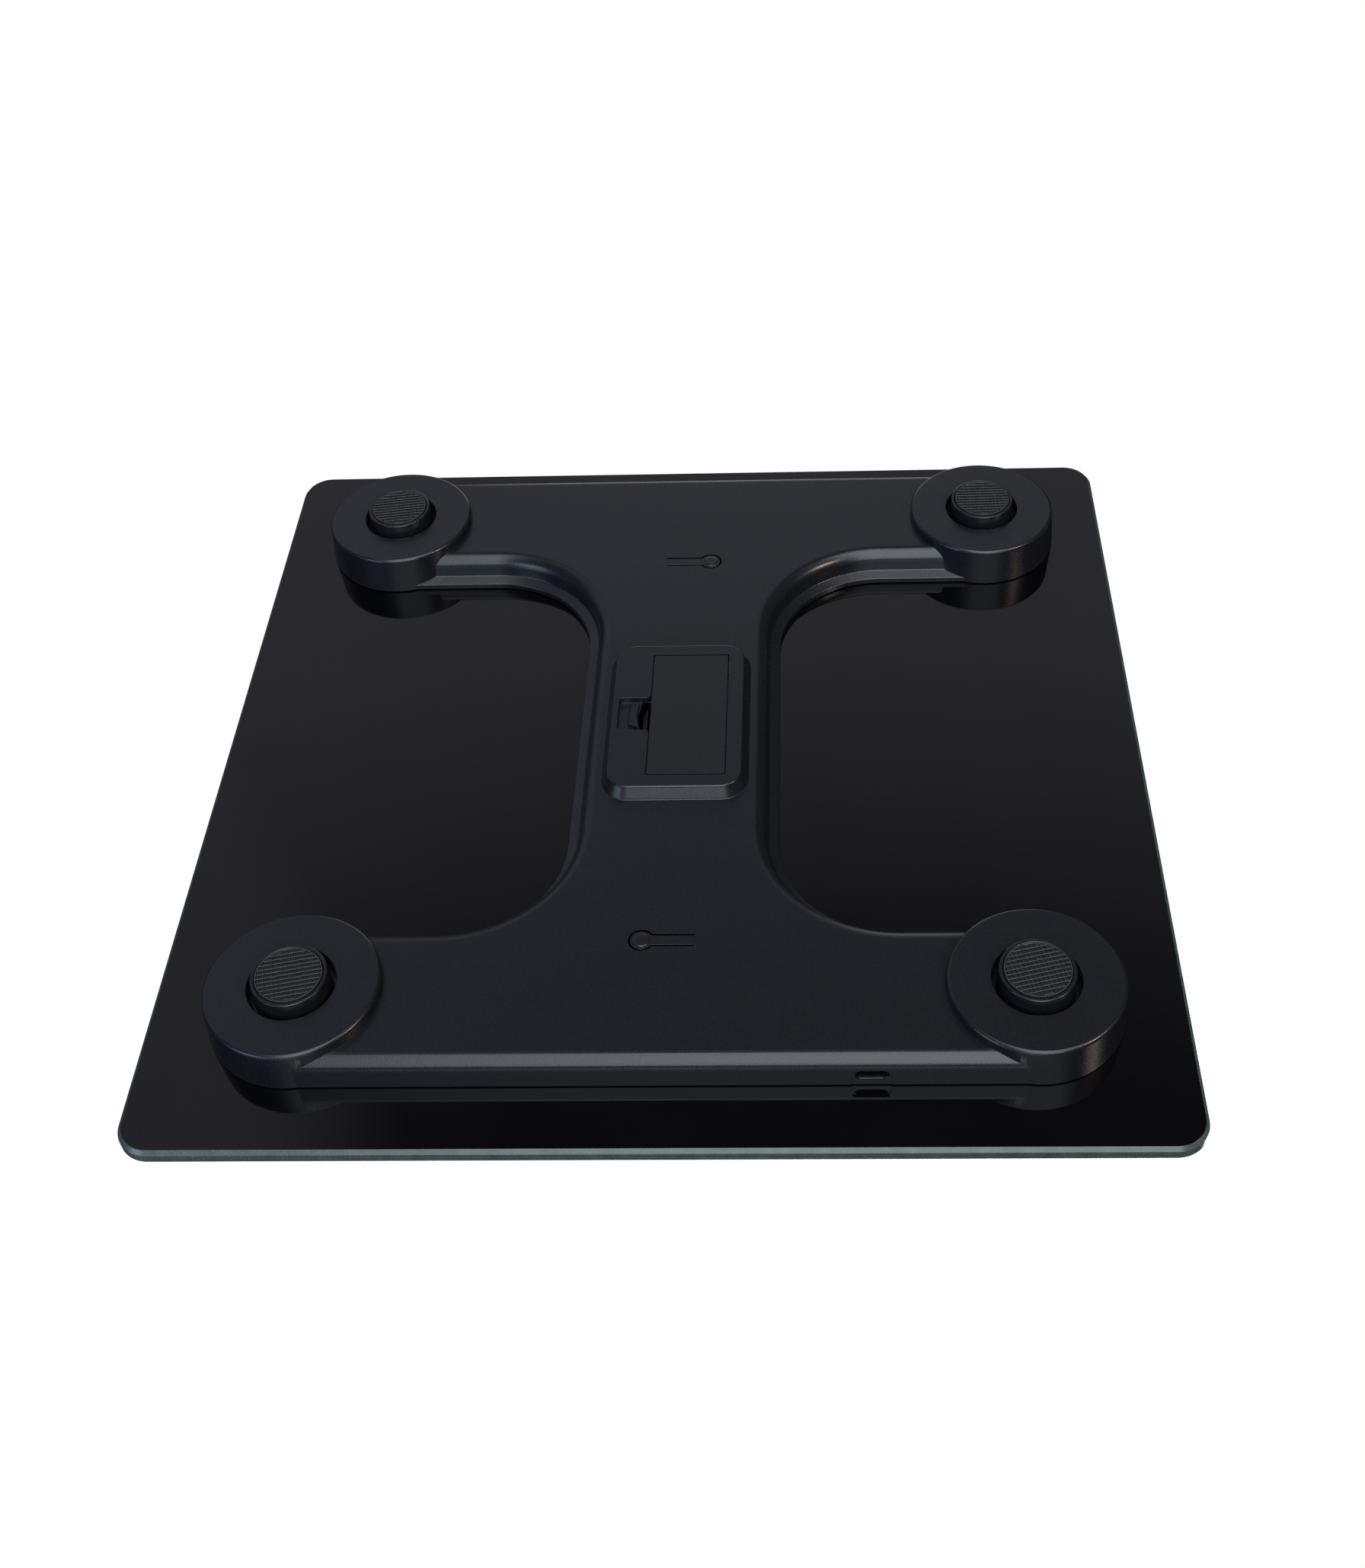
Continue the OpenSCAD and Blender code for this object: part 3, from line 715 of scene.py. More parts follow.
def notch_outline(grow):
    """Finger notch in plan: rounded on the left, flaring into the door's edge on the right."""
    r = 1.5
    flare = 0.9
    half = NOTCH_W / 2 + grow
    left = NOTCH_X - grow
    right = DOOR_EDGE_X + 0.3
    lip = DOOR_EDGE_X - DOOR_GAP
    lower = [(left, -half, r), (lip - flare, -half, flare), (lip, -half - flare, 0)]
    corners = [(right, -half - flare, 0), (right, half + flare, 0), (lip, half + flare, 0),
               (lip - flare, half, flare), (left, half, r)] + lower
    return rounded(corners, 5, closed=True)


def notch_cuts():
    """The scoop, the hole beside the door with its bulging left edge, and the latch slot."""
    levels = [(-0.35, NOTCH_FLOOR), (-0.1, NOTCH_FLOOR + 0.1), (0, NOTCH_FLOOR + 0.35)]
    levels += edge_flare(PLATEAU_H, 0.12, 3)
    scoop = stacked("scoop", [(notch_outline(g), z) for g, z in levels], (0, BAY_Y))
    half = NOTCH_W / 2 - 0.05
    bulge = 0.9
    edge = [(CATCH_X - bulge * math.cos(math.pi * t / 24) ** 2, half * t / 12)
            for t in range(-12, 13)]
    line = [(DOOR_EDGE_X, -half), (DOOR_EDGE_X, half)] + edge[::-1]
    hole = stacked("hole", [(line, BOARD_Z), (line, NOTCH_FLOOR + 0.1)], (0, BAY_Y))
    slot = boxes("latch_slot", (CATCH_X, DOOR_X - WELL_W / 2 + 0.01, BAY_Y - 4.9, BAY_Y + 4.9,
                                7.2, PLATEAU_H - 1))
    return [scoop, smooth_shaded_side(hole), smooth_shaded_side(slot)]


def notch_tab():
    """Low thumb tab that stands on the notch's floor, cut off at an angle towards the user."""
    line = [(-15.4, -3.6), (-13.4, -4.0), (-12.1, -5.6), (-12.6, 0), (-12.3, 5.6), (-15.1, 5.6)]
    top = [(x + (0.25 if x < -14 else -0.15), y * 0.96) for x, y in line]
    heights = [(line, NOTCH_FLOOR - 0.4), (line, NOTCH_FLOOR + 0.7), (top, NOTCH_FLOOR + 1.0)]
    return stacked("tab", heights, (0, BAY_Y))


def lug_pockets():
    return boxes("lug_pockets", *[
        (HINGE_X - 1.6, HINGE_X + 2.4, BAY_Y + s * LUG_DY - LUG_W / 2 - 0.4,
         BAY_Y + s * LUG_DY + LUG_W / 2 + 0.4, 10.4, DOOR_Z - 0.15) for s in (-1, 1)])


def key_line(grow, length, blend=1.4, steps=8):
    """Outline of a flex key grown by grow: a round button that flows into its arm."""
    r = KEY_R + grow
    arm = KEY_ARM / 2 + grow
    blend -= grow
    cy = arm + blend
    cx = math.sqrt((r + blend) ** 2 - cy ** 2)
    meet = math.degrees(math.atan2(cy, cx))
    button = arc(0, 0, r, meet, 360 - meet, 5 * steps)
    lower = arc(cx, -cy, blend, 180 - meet, 90, steps)[1:]
    upper = arc(cx, cy, blend, 270, 180 + meet, steps)[:-1]
    return button + lower + [(length, -arm), (length, arm)] + upper


def at_key(key):
    """Moves a key drawn along +x to its place; way is 1 or -1 for the arm along +x or -x."""
    x, y, way = key
    turn = Matrix.Rotation(0 if way > 0 else math.pi, 4, "Z")
    return Matrix.Translation((x, y, 0)) @ turn


def key_cut(name, key):
    levels = [(0, CEILING - 1)] + edge_flare(FRAME_H, 0.04, 2)
    lines = [(key_line(KEY_SLIT + g, KEY_L + g), z) for g, z in levels]
    obj = smooth_shaded_side(stacked(name, lines))
    obj.data.transform(at_key(key))
    return obj


def slot_line(grow, steps=10):
    """Outline of the socket's mouth, a flat oval grown by grow."""
    r = USB_H / 2 + grow
    dx = (USB_W - USB_H) / 2
    return arc(dx, 0, r, -90, 90, steps) + arc(-dx, 0, r, 90, 270, steps)


def at_usb(depth):
    """Places a solid drawn along +z so that it runs out through the wall from depth inside."""
    face = SHIFT - BEAM_OUTER + depth
    return Matrix.Translation((USB_X, face, USB_Z)) @ Matrix.Rotation(math.pi / 2, 4, "X")


def usb_cuts():
    """The slot for the socket, and the shallow recess round it, leaning out at the bottom."""
    inside = 5
    mouth = inside - USB_RECESS
    levels = [(0.1, 0), (0.1, mouth - 0.12), (0.22, mouth), (0.22, 6)]
    hole = smooth_shaded_side(stacked("usb_hole", [(slot_line(g), z) for g, z in levels]))
    hole.data.transform(at_usb(inside))
    recess = bmesh.new()
    top = USB_H / 2 + 0.3
    rise = SHELL_Z - USB_Z

    def window(grow, depth, lean):
        line = rounded([(-5.6 - grow, rise - 0.5, 0), (5.6 + grow, rise - 0.5, 0),
                        (4.9 + grow, top + grow, 1.3), (-4.9 - grow, top + grow, 1.3)], 6, True)
        return [(x, y, depth - lean * y) for x, y in line]

    loft_into(recess, [window(0, 0, 0.12), window(0.03, 0.3, 0.1), window(0.12, 0.5, 0.02),
                       window(0.9, 1.6, 0)])
    recess = new_object("usb_recess", recess)
    recess.data.transform(at_usb(USB_RECESS))
    return [hole, recess]


BOSSES = [(-37, -117), (-37, -88), (44, -117), (44, -88), (1.2, 85.3), (13.8, 76.5)]


def posts(name, r, z0, z1):
    bm = bmesh.new()
    for x, y in BOSSES:
        revolve_into(bm, [(0, z0), (r, z0), (r, z1), (0, z1)], (x, y), 32)
    return new_object(name, bm)


def frame_shell(plastics):
    """The black moulding, joined, hollowed and cut as in the CAD, with the notch's thumb tab."""
    shell = h_skin()
    union, cut = "UNION", "DIFFERENCE"
    steps = [(union, each_pod("pods", pod_skin)), (union, plateau_skin()),
             (cut, h_core()), (cut, each_pod("pod_cores", pod_core)), (cut, plateau_core()),
             (union, well("well_walls", WELL_WALL, WELL_FLOOR, DOOR_Z)), (union, notch_block()),
             (union, each_pod("ribs", pod_rib)),
             (union, posts("bosses", 2.2, BOARD_Z + 1, CEILING + 0.2)),
             (cut, each_pod("holes", foot_hole)),
             (cut, well("well", 0, WELL_FLOOR + 1, PLATEAU_H - 0.4)), (cut, door_recess())]
    steps += [(cut, tool) for tool in notch_cuts()]
    steps.append((union, notch_tab()))
    steps += [(cut, lug_pockets()), (cut, key_cut("unit_cut", UNIT_AT)),
              (cut, key_cut("zero_cut", ZERO_AT))]
    steps += [(cut, tool) for tool in usb_cuts()]
    steps.append((cut, posts("pilot_holes", 0.7, BOARD_Z, 8.3)))
    carve(shell, steps)
    shell.name = "frame_shell"
    return settle(shell, plastics, "platform", ["base_shell"])


def flex_key(name, node, key, body, plastics):
    """Key with a slightly domed button, and its post underneath."""
    levels = [(0, FRAME_H - KEY_T)]
    levels += [(-g, z) for g, z in edge_flare(FRAME_H, 0.1, 3)[:-1]]
    lines = [(key_line(g, KEY_L - 0.01), z) for g, z in levels]
    pad = smooth_shaded_side(stacked(name, lines), upright_only=True)
    r = KEY_R - 0.75
    crown = [(r - 0.8 + 0.8 * math.cos(a), FRAME_H - 0.06 + 0.3 * math.sin(a))
             for a in [math.radians(9 * i) for i in range(10)]]
    dome = revolved("dome", [(0, FRAME_H - 0.6), (r, FRAME_H - 0.6)] + crown + [(0, FRAME_H)], 48)
    root = FRAME_H - KEY_T + 0.1
    post = revolved("post", [(0, 8.15), (1.0, 8.15), (1.1, 8.3), (1.1, root), (0, root)], 32)
    carve(pad, [("UNION", dome), ("UNION", post)])
    return settle(pad, plastics, body, [node], move=at_key(key))


# ---------------------------------------------------------------- glass

def glass_plate(faces, edge):
    """Square plate with ground chamfers; the faces are clear and the whole edge is ground."""
    bevel = GLASS_BEVEL
    line = [(bevel + 0.35, -GLASS_T, 0), (bevel, -GLASS_T, 0.15), (0, bevel - GLASS_T, 0.25),
            (0, -bevel, 0.25), (bevel, -0.01, 0.15), (bevel + 0.35, -0.01, 0)]
    profile = rounded(line, 3)
    bm = bmesh.new()
    stack_into(bm, [(rounded_rect(GLASS_W - 2 * d, GLASS_W - 2 * d, GLASS_R - d, 16), z)
                    for d, z in profile])
    bm.faces.ensure_lookup_table()
    for face in bm.faces:
        face.material_index = 0 if len(face.verts) > 8 else 1
    obj = new_object("glass_plate", bm)
    return settle(obj, [faces, edge], "platform", ["glass_platform"], sharp=40)


# ---------------------------------------------------------------- feet

def foot_cup(corner, plastic):
    """Stepped cup that stands on a load cell's tongue and holds the rubber pad."""
    inner = FOOT_R - 1.1
    profile = rounded([(5, PLATE_TOP_Z, 0), (5, 7.6, 0), (14.6, 7.6, 0.2), (14.6, STEM_Z, 0.3),
                       (FOOT_R + 0.15, STEM_Z, 0.4), (FOOT_R, CUP_RIM_Z, 0.35),
                       (inner, CUP_RIM_Z, 0.25), (inner, PAD_BASE, 0)], 4)
    obj = revolved("foot_cup_" + corner, [(0, PLATE_TOP_Z)] + profile + [(0, PAD_BASE)])
    return settle(obj, plastic, BODY_OF_CORNER[corner],
                  ["foot_carrier_" + corner], move=at_pod(corner))


def ridge(bm, along, y, half_low, half_high, z0, z1, reach):
    """A ridge with sloping flanks, cut to a circle of radius reach; along is 0 for x, 1 for y."""
    span = math.sqrt(max(reach ** 2 - (abs(y) + half_low) ** 2, 0.04))
    rings = []
    for end in (-1, 1):
        section = [(-half_low, z0), (half_low, z0), (half_high, z1 - 0.06),
                   (half_high - 0.08, z1), (0.08 - half_high, z1), (-half_high, z1 - 0.06)]
        ring = [(end * span, y + dy, z) for dy, z in section]
        rings.append([(b, a, z) if along else (a, b, z) for a, b, z in ring])
    loft_into(bm, rings)


def tread_pad(corner, rubber, turn_deg):
    """Rubber disc with a raised border, narrow parallel ridges and finer bars across them."""
    reach = PAD_R - 0.35
    valley = FOOT_H - 0.6
    border = PAD_R - 0.05
    profile = rounded([(PAD_R, PAD_BASE, 0), (PAD_R, valley - 0.3, 0.1), (border, valley - 0.1, 0),
                       (border, FOOT_H - 0.12, 0.14), (border - 0.36, FOOT_H - 0.12, 0.14),
                       (border - 0.5, valley, 0.1), (1, valley, 0)], 3)
    pad = revolved("foot_tread_" + corner, [(0, PAD_BASE)] + profile + [(0, valley)])
    pitch = 2 * PAD_R / RIDGES
    ridges = bmesh.new()
    for i in range(RIDGES):
        ridge(ridges, 0, (i - (RIDGES - 1) / 2) * pitch, 0.26, 0.15, valley - 0.2, FOOT_H, reach)
    bars = bmesh.new()
    bar_pitch = 1.25
    count = int(2 * reach / bar_pitch)
    for i in range(count):
        ridge(bars, 1, (i - (count - 1) / 2) * bar_pitch, 0.18, 0.1, valley - 0.2,
              FOOT_H - 0.16, reach)
    carve(pad, [("UNION", new_object("bars", bars)), ("UNION", new_object("ridges", ridges))])
    move = at_pod(corner) @ Matrix.Rotation(math.radians(turn_deg), 4, "Z")
    return settle(pad, rubber, BODY_OF_CORNER[corner], ["foot_pad_" + corner],
                  move=move)


# ---------------------------------------------------------------- battery bay

def leaf_line():
    """Side view of the latch's spring leaf, a thin strip bent into a U with a tooth."""
    t = 0.8
    x0 = DOOR_EDGE_X + 0.05 + t
    x1 = DOOR_EDGE_X - 1.85
    low = 7.7
    return rounded([(x0, DOOR_Z + 0.05, 0), (x0 - t, DOOR_Z + 0.05, 0), (x0 - t, low + t, 0.3),
                    (x1 + t, low + t, 0.3), (x1 + t, 11.6, 0.2), (x1, 11.6, 0.2),
                    (x1, 10.6, 0.1), (x1 - 0.9, 10.4, 0.15), (x1 - 0.9, 9.8, 0.15),
                    (x1, 9.5, 0.1), (x1, low, 0.9), (x0, low, 0.9)], 4, closed=True)


def battery_cover(plastics):
    """Door panel with its latch leaf and its two lugs."""
    d = DOOR_L - 0.06
    levels = [(0, DOOR_Z)] + [(-g, z) for g, z in edge_flare(PLATEAU_H, 0.05, 2)[:-1]]
    lines = [(rounded_rect(DOOR_W + 2 * g, d + 2 * g, 0.4 + g, 4), z) for g, z in levels]
    cover = stacked("battery_cover", lines, (DOOR_X, BAY_Y))
    smooth_shaded_side(cover, upright_only=True)
    steps = []
    leaf = bmesh.new()
    loft_into(leaf, [[(x, BAY_Y + s * 4.5, z) for x, z in leaf_line()] for s in (-1, 1)])
    steps.append(("UNION", smooth_shaded_side(new_object("leaf", leaf))))
    leg = (HINGE_X - 1.05, HINGE_X - 0.15, DOOR_Z - 1.7, DOOR_Z + 0.3)
    toe = (HINGE_X - 1.0, HINGE_X + 1.85, DOOR_Z - 1.7, DOOR_Z - 0.7)
    for s in (-1, 1):
        y = BAY_Y + s * LUG_DY
        for part, (x0, x1, z0, z1) in (("lug_leg", leg), ("lug_toe", toe)):
            lug = eased_box(part, x0, x1, y - LUG_W / 2, y + LUG_W / 2, z0, z1)
            steps.append(("UNION", lug))
    carve(cover, steps)
    return settle(cover, plastics, "door", ["battery_door"])


def battery(name, node, turn, jacket, steel):
    """AAA cell: jacket turned in at both ends, a crimped shoulder and a round nub."""
    low, high = bench_box(node)
    r = (high.x - low.x) / 2
    length = high.y - low.y
    nub = 0.8
    body = length - nub
    line = rounded([(3.9, 0, 0), (4.6, 0.12, 0.1), (r - 0.1, 0.12, 0.35), (r - 0.1, 0.9, 0.1),
                    (r, 1.1, 0.1), (r, body - 1.0, 0.2), (r - 0.35, body - 0.25, 0.3),
                    (3.4, body - 0.25, 0.2), (3.2, body, 0.1), (1.9, body, 0.1),
                    (1.9, length, 0.35), (0.8, length, 0)], 4)
    bm = bmesh.new()
    revolve_into(bm, [(0, 0)] + line + [(0, length)], steps=64)
    for face in bm.faces:
        mid = face.calc_center_median()
        bare = mid.z < 0.5 or mid.z > body - 0.5
        face.material_index = 1 if bare else 0
    obj = new_object(name, bm)
    centre = (low + high) / 2
    start = low.y if turn == 0 else high.y
    stand = Matrix.Rotation(-math.pi / 2 if turn == 0 else math.pi / 2, 4, "X")
    move = Matrix.Translation((centre.x, start, centre.z)) @ stand
    return settle(obj, [jacket, steel], "platform", [node], move=move)


def tube_into(bm, path, r, sides=10):
    """A round wire swept along a path of points, closed at its ends."""
    rings = []
    normal = Vector((0, 0, 1))
    for i, here in enumerate(path):
        ahead = path[min(i + 1, len(path) - 1)]
        behind = path[max(i - 1, 0)]
        way = (ahead - behind).normalized()
        side = way.cross(normal).normalized()
        normal = side.cross(way).normalized()
        rings.append([here + side * r * math.cos(a) + normal * r * math.sin(a)
                      for a in [2 * math.pi * k / sides for k in range(sides)]])
    loft_into(bm, rings)


def helix(turns, r0, r1, length, flat=0.75, steps=28):
    """Conical coil along +y whose first and last turns lie nearly flat."""
    path = []
    total = int(turns * steps)
    for i in range(total + 1):
        t = i / total
        a = 2 * math.pi * turns * t
        r = r0 + (r1 - r0) * t
        rise = min(max((t * turns - flat) / (turns - 2 * flat), 0), 1)
        path.append(Vector((r * math.cos(a), length * rise, r * math.sin(a))))
    return path


def battery_coils(steel):
    """Two conical springs, one at the flat end of each cell."""
    low, high = bench_box("battery_springs")
    wire = 0.3
    left, right = bench_box("battery_left"), bench_box("battery_right")
    bm = bmesh.new()
    for (lo, hi), end, way in ((left, low.y + wire, 1), (right, high.y - wire, -1)):
        x = (lo.x + hi.x) / 2
        z = (lo.z + hi.z) / 2
        path = helix(6, 3.9, 2.1, 3.9)
        tube_into(bm, [Vector((x + p.x, end + way * p.y, z + p.z)) for p in path], wire)
    obj = new_object("battery_coils", bm)
    return settle(obj, steel, "platform", ["battery_springs"], sharp=50)


# ---------------------------------------------------------------- socket and display

def usb_receptacle(steel, tongue_plastic, gold):
    """Socket: oval steel shell, painted near-black as shade, plastic tongue and contacts."""
    shell = bmesh.new()
    wall = 0.3
    levels = [(0, 0), (0, USB_L - 0.12), (-0.05, USB_L - 0.03), (-0.12, USB_L)]
    rings = [(slot_line(g), z) for g, z in levels]
    inner = [(slot_line(-wall + 0.12), USB_L), (slot_line(-wall + 0.03), USB_L - 0.05),
             (slot_line(-wall), USB_L - 0.15), (slot_line(-wall), 0)]
    loft_into(shell, [[(x, y, z) for x, y in line] for line, z in rings + inner], looped=True)
    stack_into(shell, [(slot_line(-wall + 0.02), 0.02), (slot_line(-wall + 0.02), 1.2)])
    back = at_usb(USB_RECESS + 0.1 + USB_L)
    obj = new_object("usb_receptacle", shell)
    settle(obj, steel, "platform", ["usb_socket"], move=back)
    tongue = eased_box("usb_tongue", -3.35, 3.35, -0.35, 0.35, 1.1, USB_L - 1.6, 0.15)
    settle(tongue, tongue_plastic, "platform", move=back)
    pins = bmesh.new()
    for i in range(12):
        x = (i - 5.5) * 0.5
        for s in (-1, 1):
            box_into(pins, x - 0.12, x + 0.12, s * 0.38 - 0.04, s * 0.38 + 0.04, 1.3, USB_L - 2)
    pins = new_object("usb_contacts", pins)
    settle(pins, gold, "platform", move=back)


def digit_into(bm, x, y, z):
    """Seven lozenge bars that make one numeral, lying on the display's face."""
    w, h, half, thick = 4.6, 4.6, 0.55, 0.05
    bars = [(x, y + s * h, 0) for s in (-1, 0, 1)]
    bars += [(x + s * w / 2, y + t * h / 2, 1) for s in (-1, 1) for t in (-1, 1)]
    for cx, cy, upright in bars:
        reach = (h if upright else w) / 2 - 0.25
        line = [(-reach, 0), (half - reach, -half), (reach - half, -half), (reach, 0),
                (reach - half, half), (half - reach, half)]
        line = [(b, a) if upright else (a, b) for a, b in line]
        loft_into(bm, [[(cx + a, cy + b, level) for a, b in line] for level in (z, z + thick)])


def display_unit(housing, segments):
    low, high = bench_box("display_module")
    face = low.z
    case = eased_box("display_unit", low.x, high.x, low.y, high.y, face + 0.06, high.z, 0.3)
    settle(case, housing, "platform", ["display_module"])
    cy = (low.y + high.y) / 2
    bm = bmesh.new()
    for i in range(4):
        digit_into(bm, (i - 1.5) * 9.5, cy, face + 0.005)
    digits = new_object("display_segments", bm)
    settle(digits, segments, "platform")


# ---------------------------------------------------------------- stage

def camera():
    """Above and in front of the bench, looking down on the underside of the scale."""
    place = Vector((41.24, -406.9, 420.47))
    elevation, roll, yaw = (math.radians(a) for a in (44.81, -2.62, 2.75))
    c, s = math.cos(elevation), math.sin(elevation)
    base = Matrix(((1, 0, 0), (0, -s, -c), (0, c, -s)))
    turn = Matrix.Rotation(yaw, 3, "Z")
    lean = Matrix.Rotation(roll, 3, "Z")
    right, down, ahead = lean @ base @ turn.transposed()
    axes = Matrix((right, -down, -ahead)).transposed()
    data = bpy.data.cameras.new("camera")
    data.lens = 42.51
    data.shift_x = -0.0408
    data.shift_y = -0.0432
    data.clip_start = 0.01
    obj = bpy.data.objects.new("camera", data)
    obj.matrix_world = Matrix.Translation(PLACE @ place) @ (TURN.to_3x3() @ axes).to_4x4()
    bpy.context.scene.collection.objects.link(obj)
    bpy.context.scene.camera = obj


def studio_light(name, azimuth, elevation, size, power, colour=(1, 1, 1), distance=1200):
    """Square area light aimed at the object's middle, placed by bench angles, sizes in mm."""
    data = bpy.data.lights.new(name, "AREA")
    data.shape = "SQUARE"
    data.size = size * MM
    data.energy = power
    data.color = colour
    obj = bpy.data.objects.new(name, data)
    around, up = math.radians(azimuth), math.radians(elevation)
    way = Vector((math.cos(up) * math.cos(around), math.cos(up) * math.sin(around), math.sin(up)))
    here, there = PLACE @ (way * distance), PLACE @ Vector()
    obj.location = here
    obj.rotation_mode = "QUATERNION"
    obj.rotation_quaternion = (there - here).to_track_quat("-Z", "Y")
    obj.visible_camera = False
    bpy.context.scene.collection.objects.link(obj)


def lights():
    """Three lights round the bench, two below its level for the glass's edge, and two in the
    room for the glass's face."""
    studio_light("lamp_right", 335, 39, 180, 3.6, (1.25, 0.95, 0.8))
    studio_light("window_left", 225, 14, 520, 2.6, (0.75, 0.95, 1.3))
    studio_light("far_low", 90, 7, 520, 1.0)
    studio_light("bench_bounce_left", 235, -25, 520, 1.2)
    studio_light("bench_bounce_right", 268, -25, 520, 1.3)
    studio_light("room_key", 60, -60, 900, 24)
    studio_light("room_fill", 100, -72, 900, 8)


def world():
    """White to the camera. To the object, one tall soft light from the front to overhead, and a
    dim studio that is lighter low on the far side."""
    studio = bpy.data.worlds.new("studio")
    bpy.context.scene.world = studio
    studio.use_nodes = True
    tree = studio.node_tree
    nodes, links = tree.nodes, tree.links
    where = nodes.new("ShaderNodeTexCoord").outputs["Generated"]

    def along(x, y, z):
        """How far a direction points along (x, y, z), given in the bench's axes."""
        node = nodes.new("ShaderNodeVectorMath")
        node.operation = "DOT_PRODUCT"
        node.inputs[1].default_value = TURN.to_3x3() @ Vector((x, y, z))
        links.new(where, node.inputs[0])
        return node.outputs["Value"]

    def step(output, start, end, top=1.0):
        return map_range(tree, output, start, end, 0.0, top, smooth=True)

    def combine(operation, a, b):
        node = nodes.new("ShaderNodeMath")
        node.operation = operation
        links.new(a, node.inputs[0])
        if isinstance(b, float):
            node.inputs[1].default_value = b
        else:
            links.new(b, node.inputs[1])
        return node.outputs["Value"]

    def glow(strength, colour):
        node = nodes.new("ShaderNodeBackground")
        node.inputs["Color"].default_value = (*colour, 1)
        links.new(strength, node.inputs["Strength"])
        return node.outputs["Background"]

    across, away, up = along(1, 0, 0), along(0, 1, 0), along(0, 0, 1)
    low = combine("MULTIPLY", step(up, 0.85, 0.66, 0.34), step(across, 0.32, 0.2))
    left = step(across, -0.19, -0.31, 0.34)
    far = combine("MULTIPLY", step(away, 0.1, 0.4), step(up, 0.0, 0.45))
    studio_dim = combine("ADD", combine("MULTIPLY", combine("MAXIMUM", low, left), far), 0.03)

    lower_edge, upper_edge = math.radians(8), math.radians(8)
    above = step(along(0, math.sin(lower_edge), math.cos(lower_edge)), -0.02, 0.06)
    before = step(along(0, -math.cos(upper_edge), math.sin(upper_edge)), -0.05, 0.07)
    inside = combine("MULTIPLY", step(across, -0.33, -0.13), step(across, 0.45, 0.3))
    tall_box = combine("MULTIPLY", combine("MULTIPLY", above, before), inside)
    tall_box = combine("MULTIPLY", tall_box, 3.7)

    light = nodes.new("ShaderNodeAddShader")
    links.new(glow(studio_dim, (0.96, 0.94, 1.1)), light.inputs[0])
    links.new(glow(tall_box, (0.9, 1.0, 1.06)), light.inputs[1])
    seen = nodes["Background"]
    seen.inputs["Color"].default_value = (1, 1, 1, 1)
    mix = nodes.new("ShaderNodeMixShader")
    links.new(nodes.new("ShaderNodeLightPath").outputs["Is Camera Ray"], mix.inputs["Fac"])
    links.new(light.outputs["Shader"], mix.inputs[1])
    links.new(seen.outputs["Background"], mix.inputs[2])
    links.new(mix.outputs["Shader"], nodes["World Output"].inputs["Surface"])


def matt_floor():
    """Matt pale surface that turns to plain white far away and is clear from below."""
    material = bpy.data.materials.new("floor")
    material.use_nodes = True
    tree = material.node_tree
    nodes, links = tree.nodes, tree.links
    pale = nodes["Principled BSDF"]
    pale.inputs["Base Color"].default_value = (0.82, 0.82, 0.81, 1)
    pale.inputs["Roughness"].default_value = 1.0
    pale.inputs["Specular IOR Level"].default_value = 0.0
    glow = nodes.new("ShaderNodeEmission")
    where = nodes.new("ShaderNodeTexCoord")
    length = nodes.new("ShaderNodeVectorMath")
    length.operation = "LENGTH"
    links.new(where.outputs["Object"], length.inputs[0])
    near, far = 0.3, 0.8
    fade = map_range(tree, length.outputs["Value"], near, far, smooth=True)
    spread = nodes.new("ShaderNodeMixShader")
    links.new(fade, spread.inputs["Fac"])
    links.new(pale.outputs["BSDF"], spread.inputs[1])
    links.new(glow.outputs["Emission"], spread.inputs[2])
    clear = nodes.new("ShaderNodeBsdfTransparent")
    side = nodes.new("ShaderNodeNewGeometry")
    one_way = nodes.new("ShaderNodeMixShader")
    links.new(side.outputs["Backfacing"], one_way.inputs["Fac"])
    links.new(spread.outputs["Shader"], one_way.inputs[1])
    links.new(clear.outputs["BSDF"], one_way.inputs[2])
    links.new(one_way.outputs["Shader"], nodes["Material Output"].inputs["Surface"])
    return material


def floor():
    """Large disc under the feet, in metres, that only the camera sees."""
    bm = bmesh.new()
    bmesh.ops.create_circle(bm, cap_ends=True, radius=6.0, segments=96)
    mesh = bpy.data.meshes.new("floor")
    bm.to_mesh(mesh)
    bm.free()
    obj = bpy.data.objects.new("floor", mesh)
    bpy.context.scene.collection.objects.link(obj)
    mesh.materials.append(matt_floor())
    obj.visible_shadow = False
    obj.visible_diffuse = False
    obj.visible_glossy = False
    obj.visible_transmission = False


# ---------------------------------------------------------------- everything

def paint(material, *prefixes):
    """Finish for the CAD nodes that stay, picked by the start of their names."""
    for name, obj in frame["nodes"].items():
        if name.startswith(prefixes):
            obj.data.materials.clear()
            obj.data.materials.append(material)


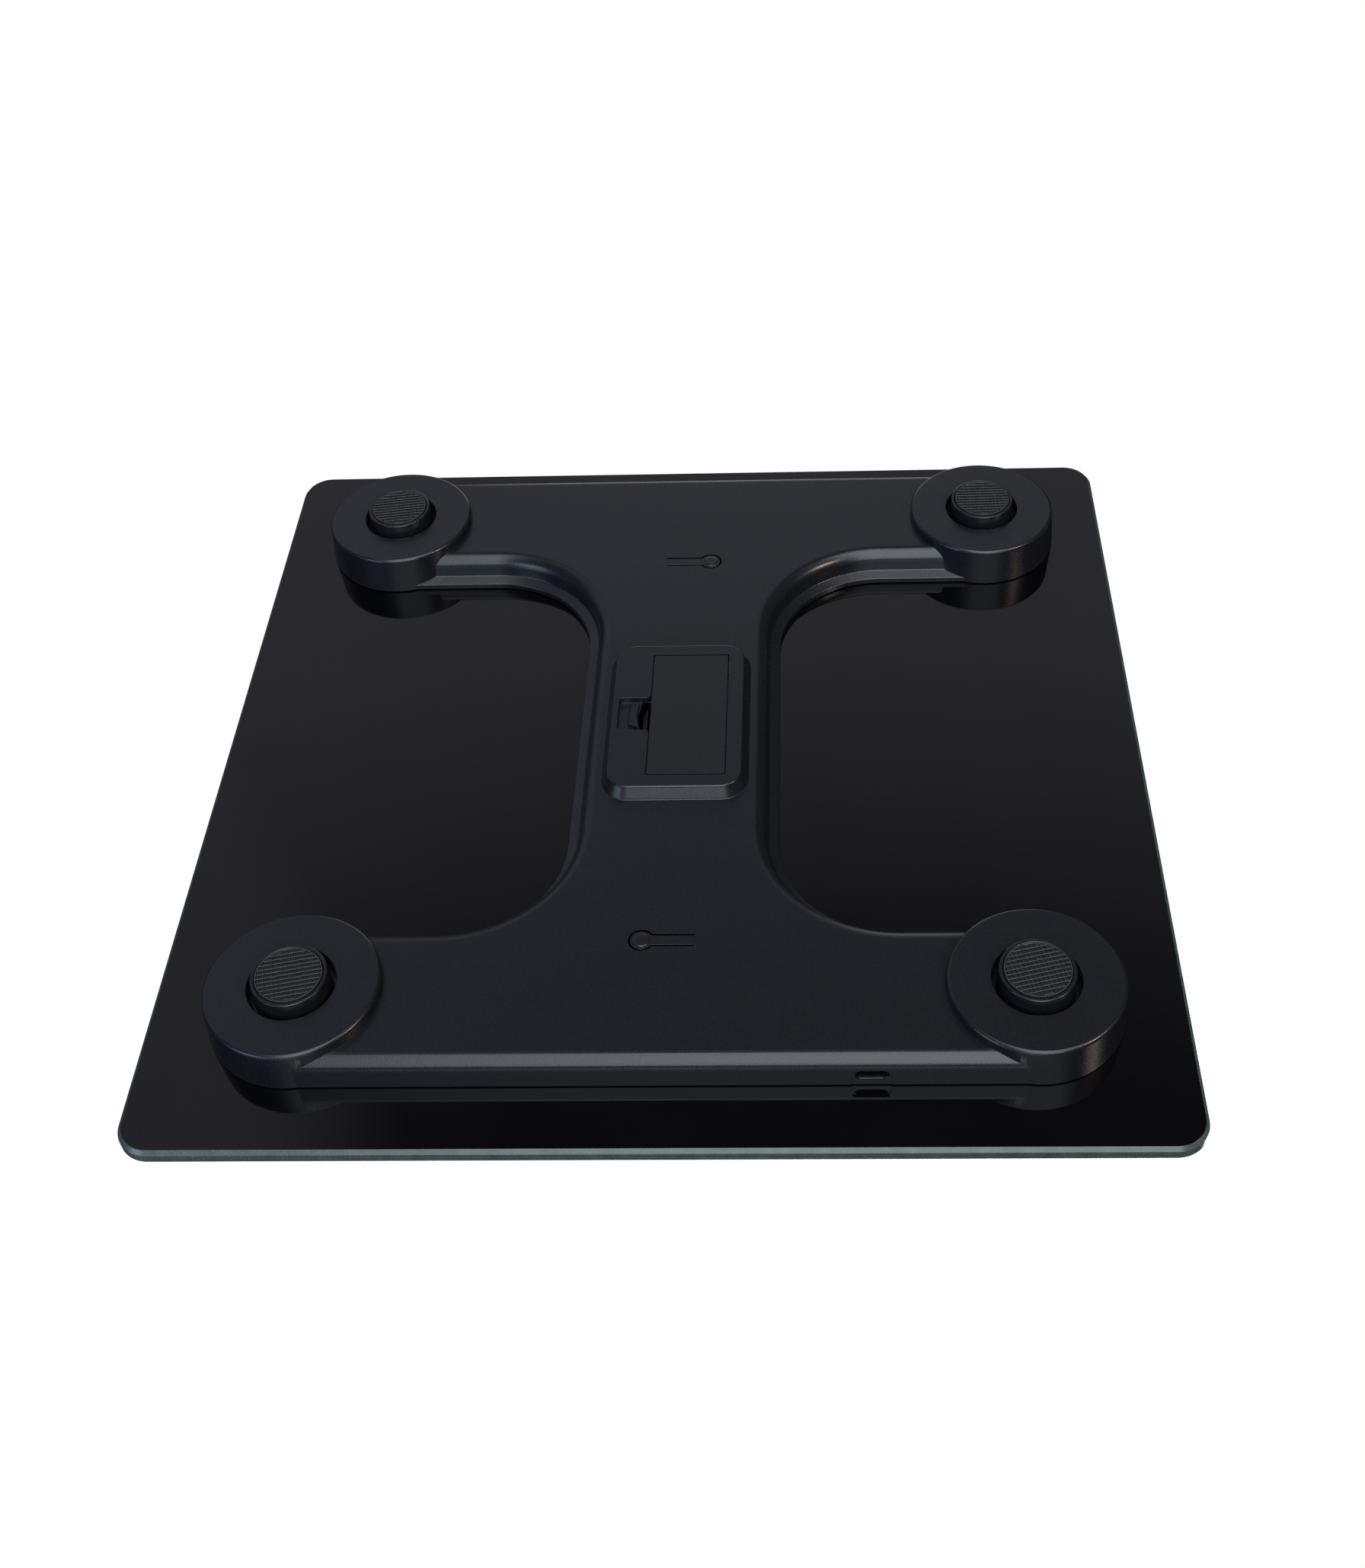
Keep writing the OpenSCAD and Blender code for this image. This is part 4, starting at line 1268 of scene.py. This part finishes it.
def build():
    plastic = satin_plastic("shell_plastic", (0.0060, 0.0067, 0.0088), (0.0074, 0.0082, 0.0103))
    door_plastic = satin_plastic("door_plastic", (0.0070, 0.0076, 0.0094), (0.0082, 0.0089, 0.0108))
    cup_plastic = satin_plastic("cup_plastic", (0.0055, 0.0062, 0.0078), (0.0070, 0.0078, 0.0094))
    rubber = tread_rubber()
    plated = metal("plated_steel", (0.50, 0.51, 0.52), (0.64, 0.65, 0.66), 0.14, 0.3)
    stamped = metal("stamped_steel", (0.42, 0.43, 0.44), (0.52, 0.53, 0.54), 0.3, 0.5, 2.0,
                    (1, 0.1, 1))
    # Painted shade: the socket's steel is coloured near-black to stand for the shade inside the
    # socket.
    socket_steel_painted_shade = metal("socket_steel_painted_shade", (0.05, 0.052, 0.056), (0.085, 0.088, 0.094), 0.3, 0.42, 0.5)
    gold = metal("gold_flash", (0.75, 0.52, 0.2), (0.85, 0.62, 0.28), 0.2, 0.35, 0.4)
    chip = package_plastic("chip_plastic", (0.012, 0.012, 0.013), (0.02, 0.02, 0.021))
    housing = package_plastic("display_housing", (0.014, 0.014, 0.015), (0.02, 0.02, 0.021), 0.4)
    segments = package_plastic("display_segments", (0.1, 0.1, 0.1), (0.13, 0.13, 0.13), 0.5)

    # Walls of slits, gaps and key edges get the same plastic painted darker as shade.
    slit = slit_plastic_painted_shade()
    frame_shell([plastic, slit])
    flex_key("unit_flex_key", "unit_key", UNIT_AT, "unit_button", [plastic, slit])
    flex_key("zero_flex_key", "zero_key", ZERO_AT, "zero_button", [plastic, slit])
    glass_plate(clear_glass(), ground_glass())
    for corner, turn in {"fl": 12, "fr": 14, "bl": 8, "br": 1}.items():
        foot_cup(corner, cup_plastic)
        tread_pad(corner, rubber, turn)
    battery_cover([door_plastic, slit])
    jacket = cell_jacket()
    battery("cell_left", "battery_left", 0, jacket, plated)
    battery("cell_right", "battery_right", 180, jacket, plated)
    battery_coils(plated)
    usb_receptacle(socket_steel_painted_shade, chip, gold)
    display_unit(housing, segments)
    paint(printed_enamel(), "enamel_backing")
    paint(foam_tape(), "adhesive_gasket")
    paint(tray_plastic(), "load_cell_tray")
    paint(stamped, "load_cell_frame", "load_cell_tongue", "unit_switch", "zero_switch",
          "board_screws")
    paint(plated, "battery_contacts")
    paint(chip, "unit_plunger", "zero_plunger", "controller_chip")
    paint(solder_mask(), "main_board", "zero_board")
    paint(package_plastic("board_parts", (0.2, 0.14, 0.08), (0.34, 0.25, 0.15)), "board_parts")
    paint(smoked_filter(), "display_filter")
    # battery_lead and zero_lead keep the frame's own plain material
    paint(package_plastic("lead_pvc", (0.018, 0.018, 0.02), (0.03, 0.03, 0.034), 0.55), "cell_lead")


camera()
build()
lights()
world()
floor()
bpy.context.scene.view_settings.view_transform = "Standard"
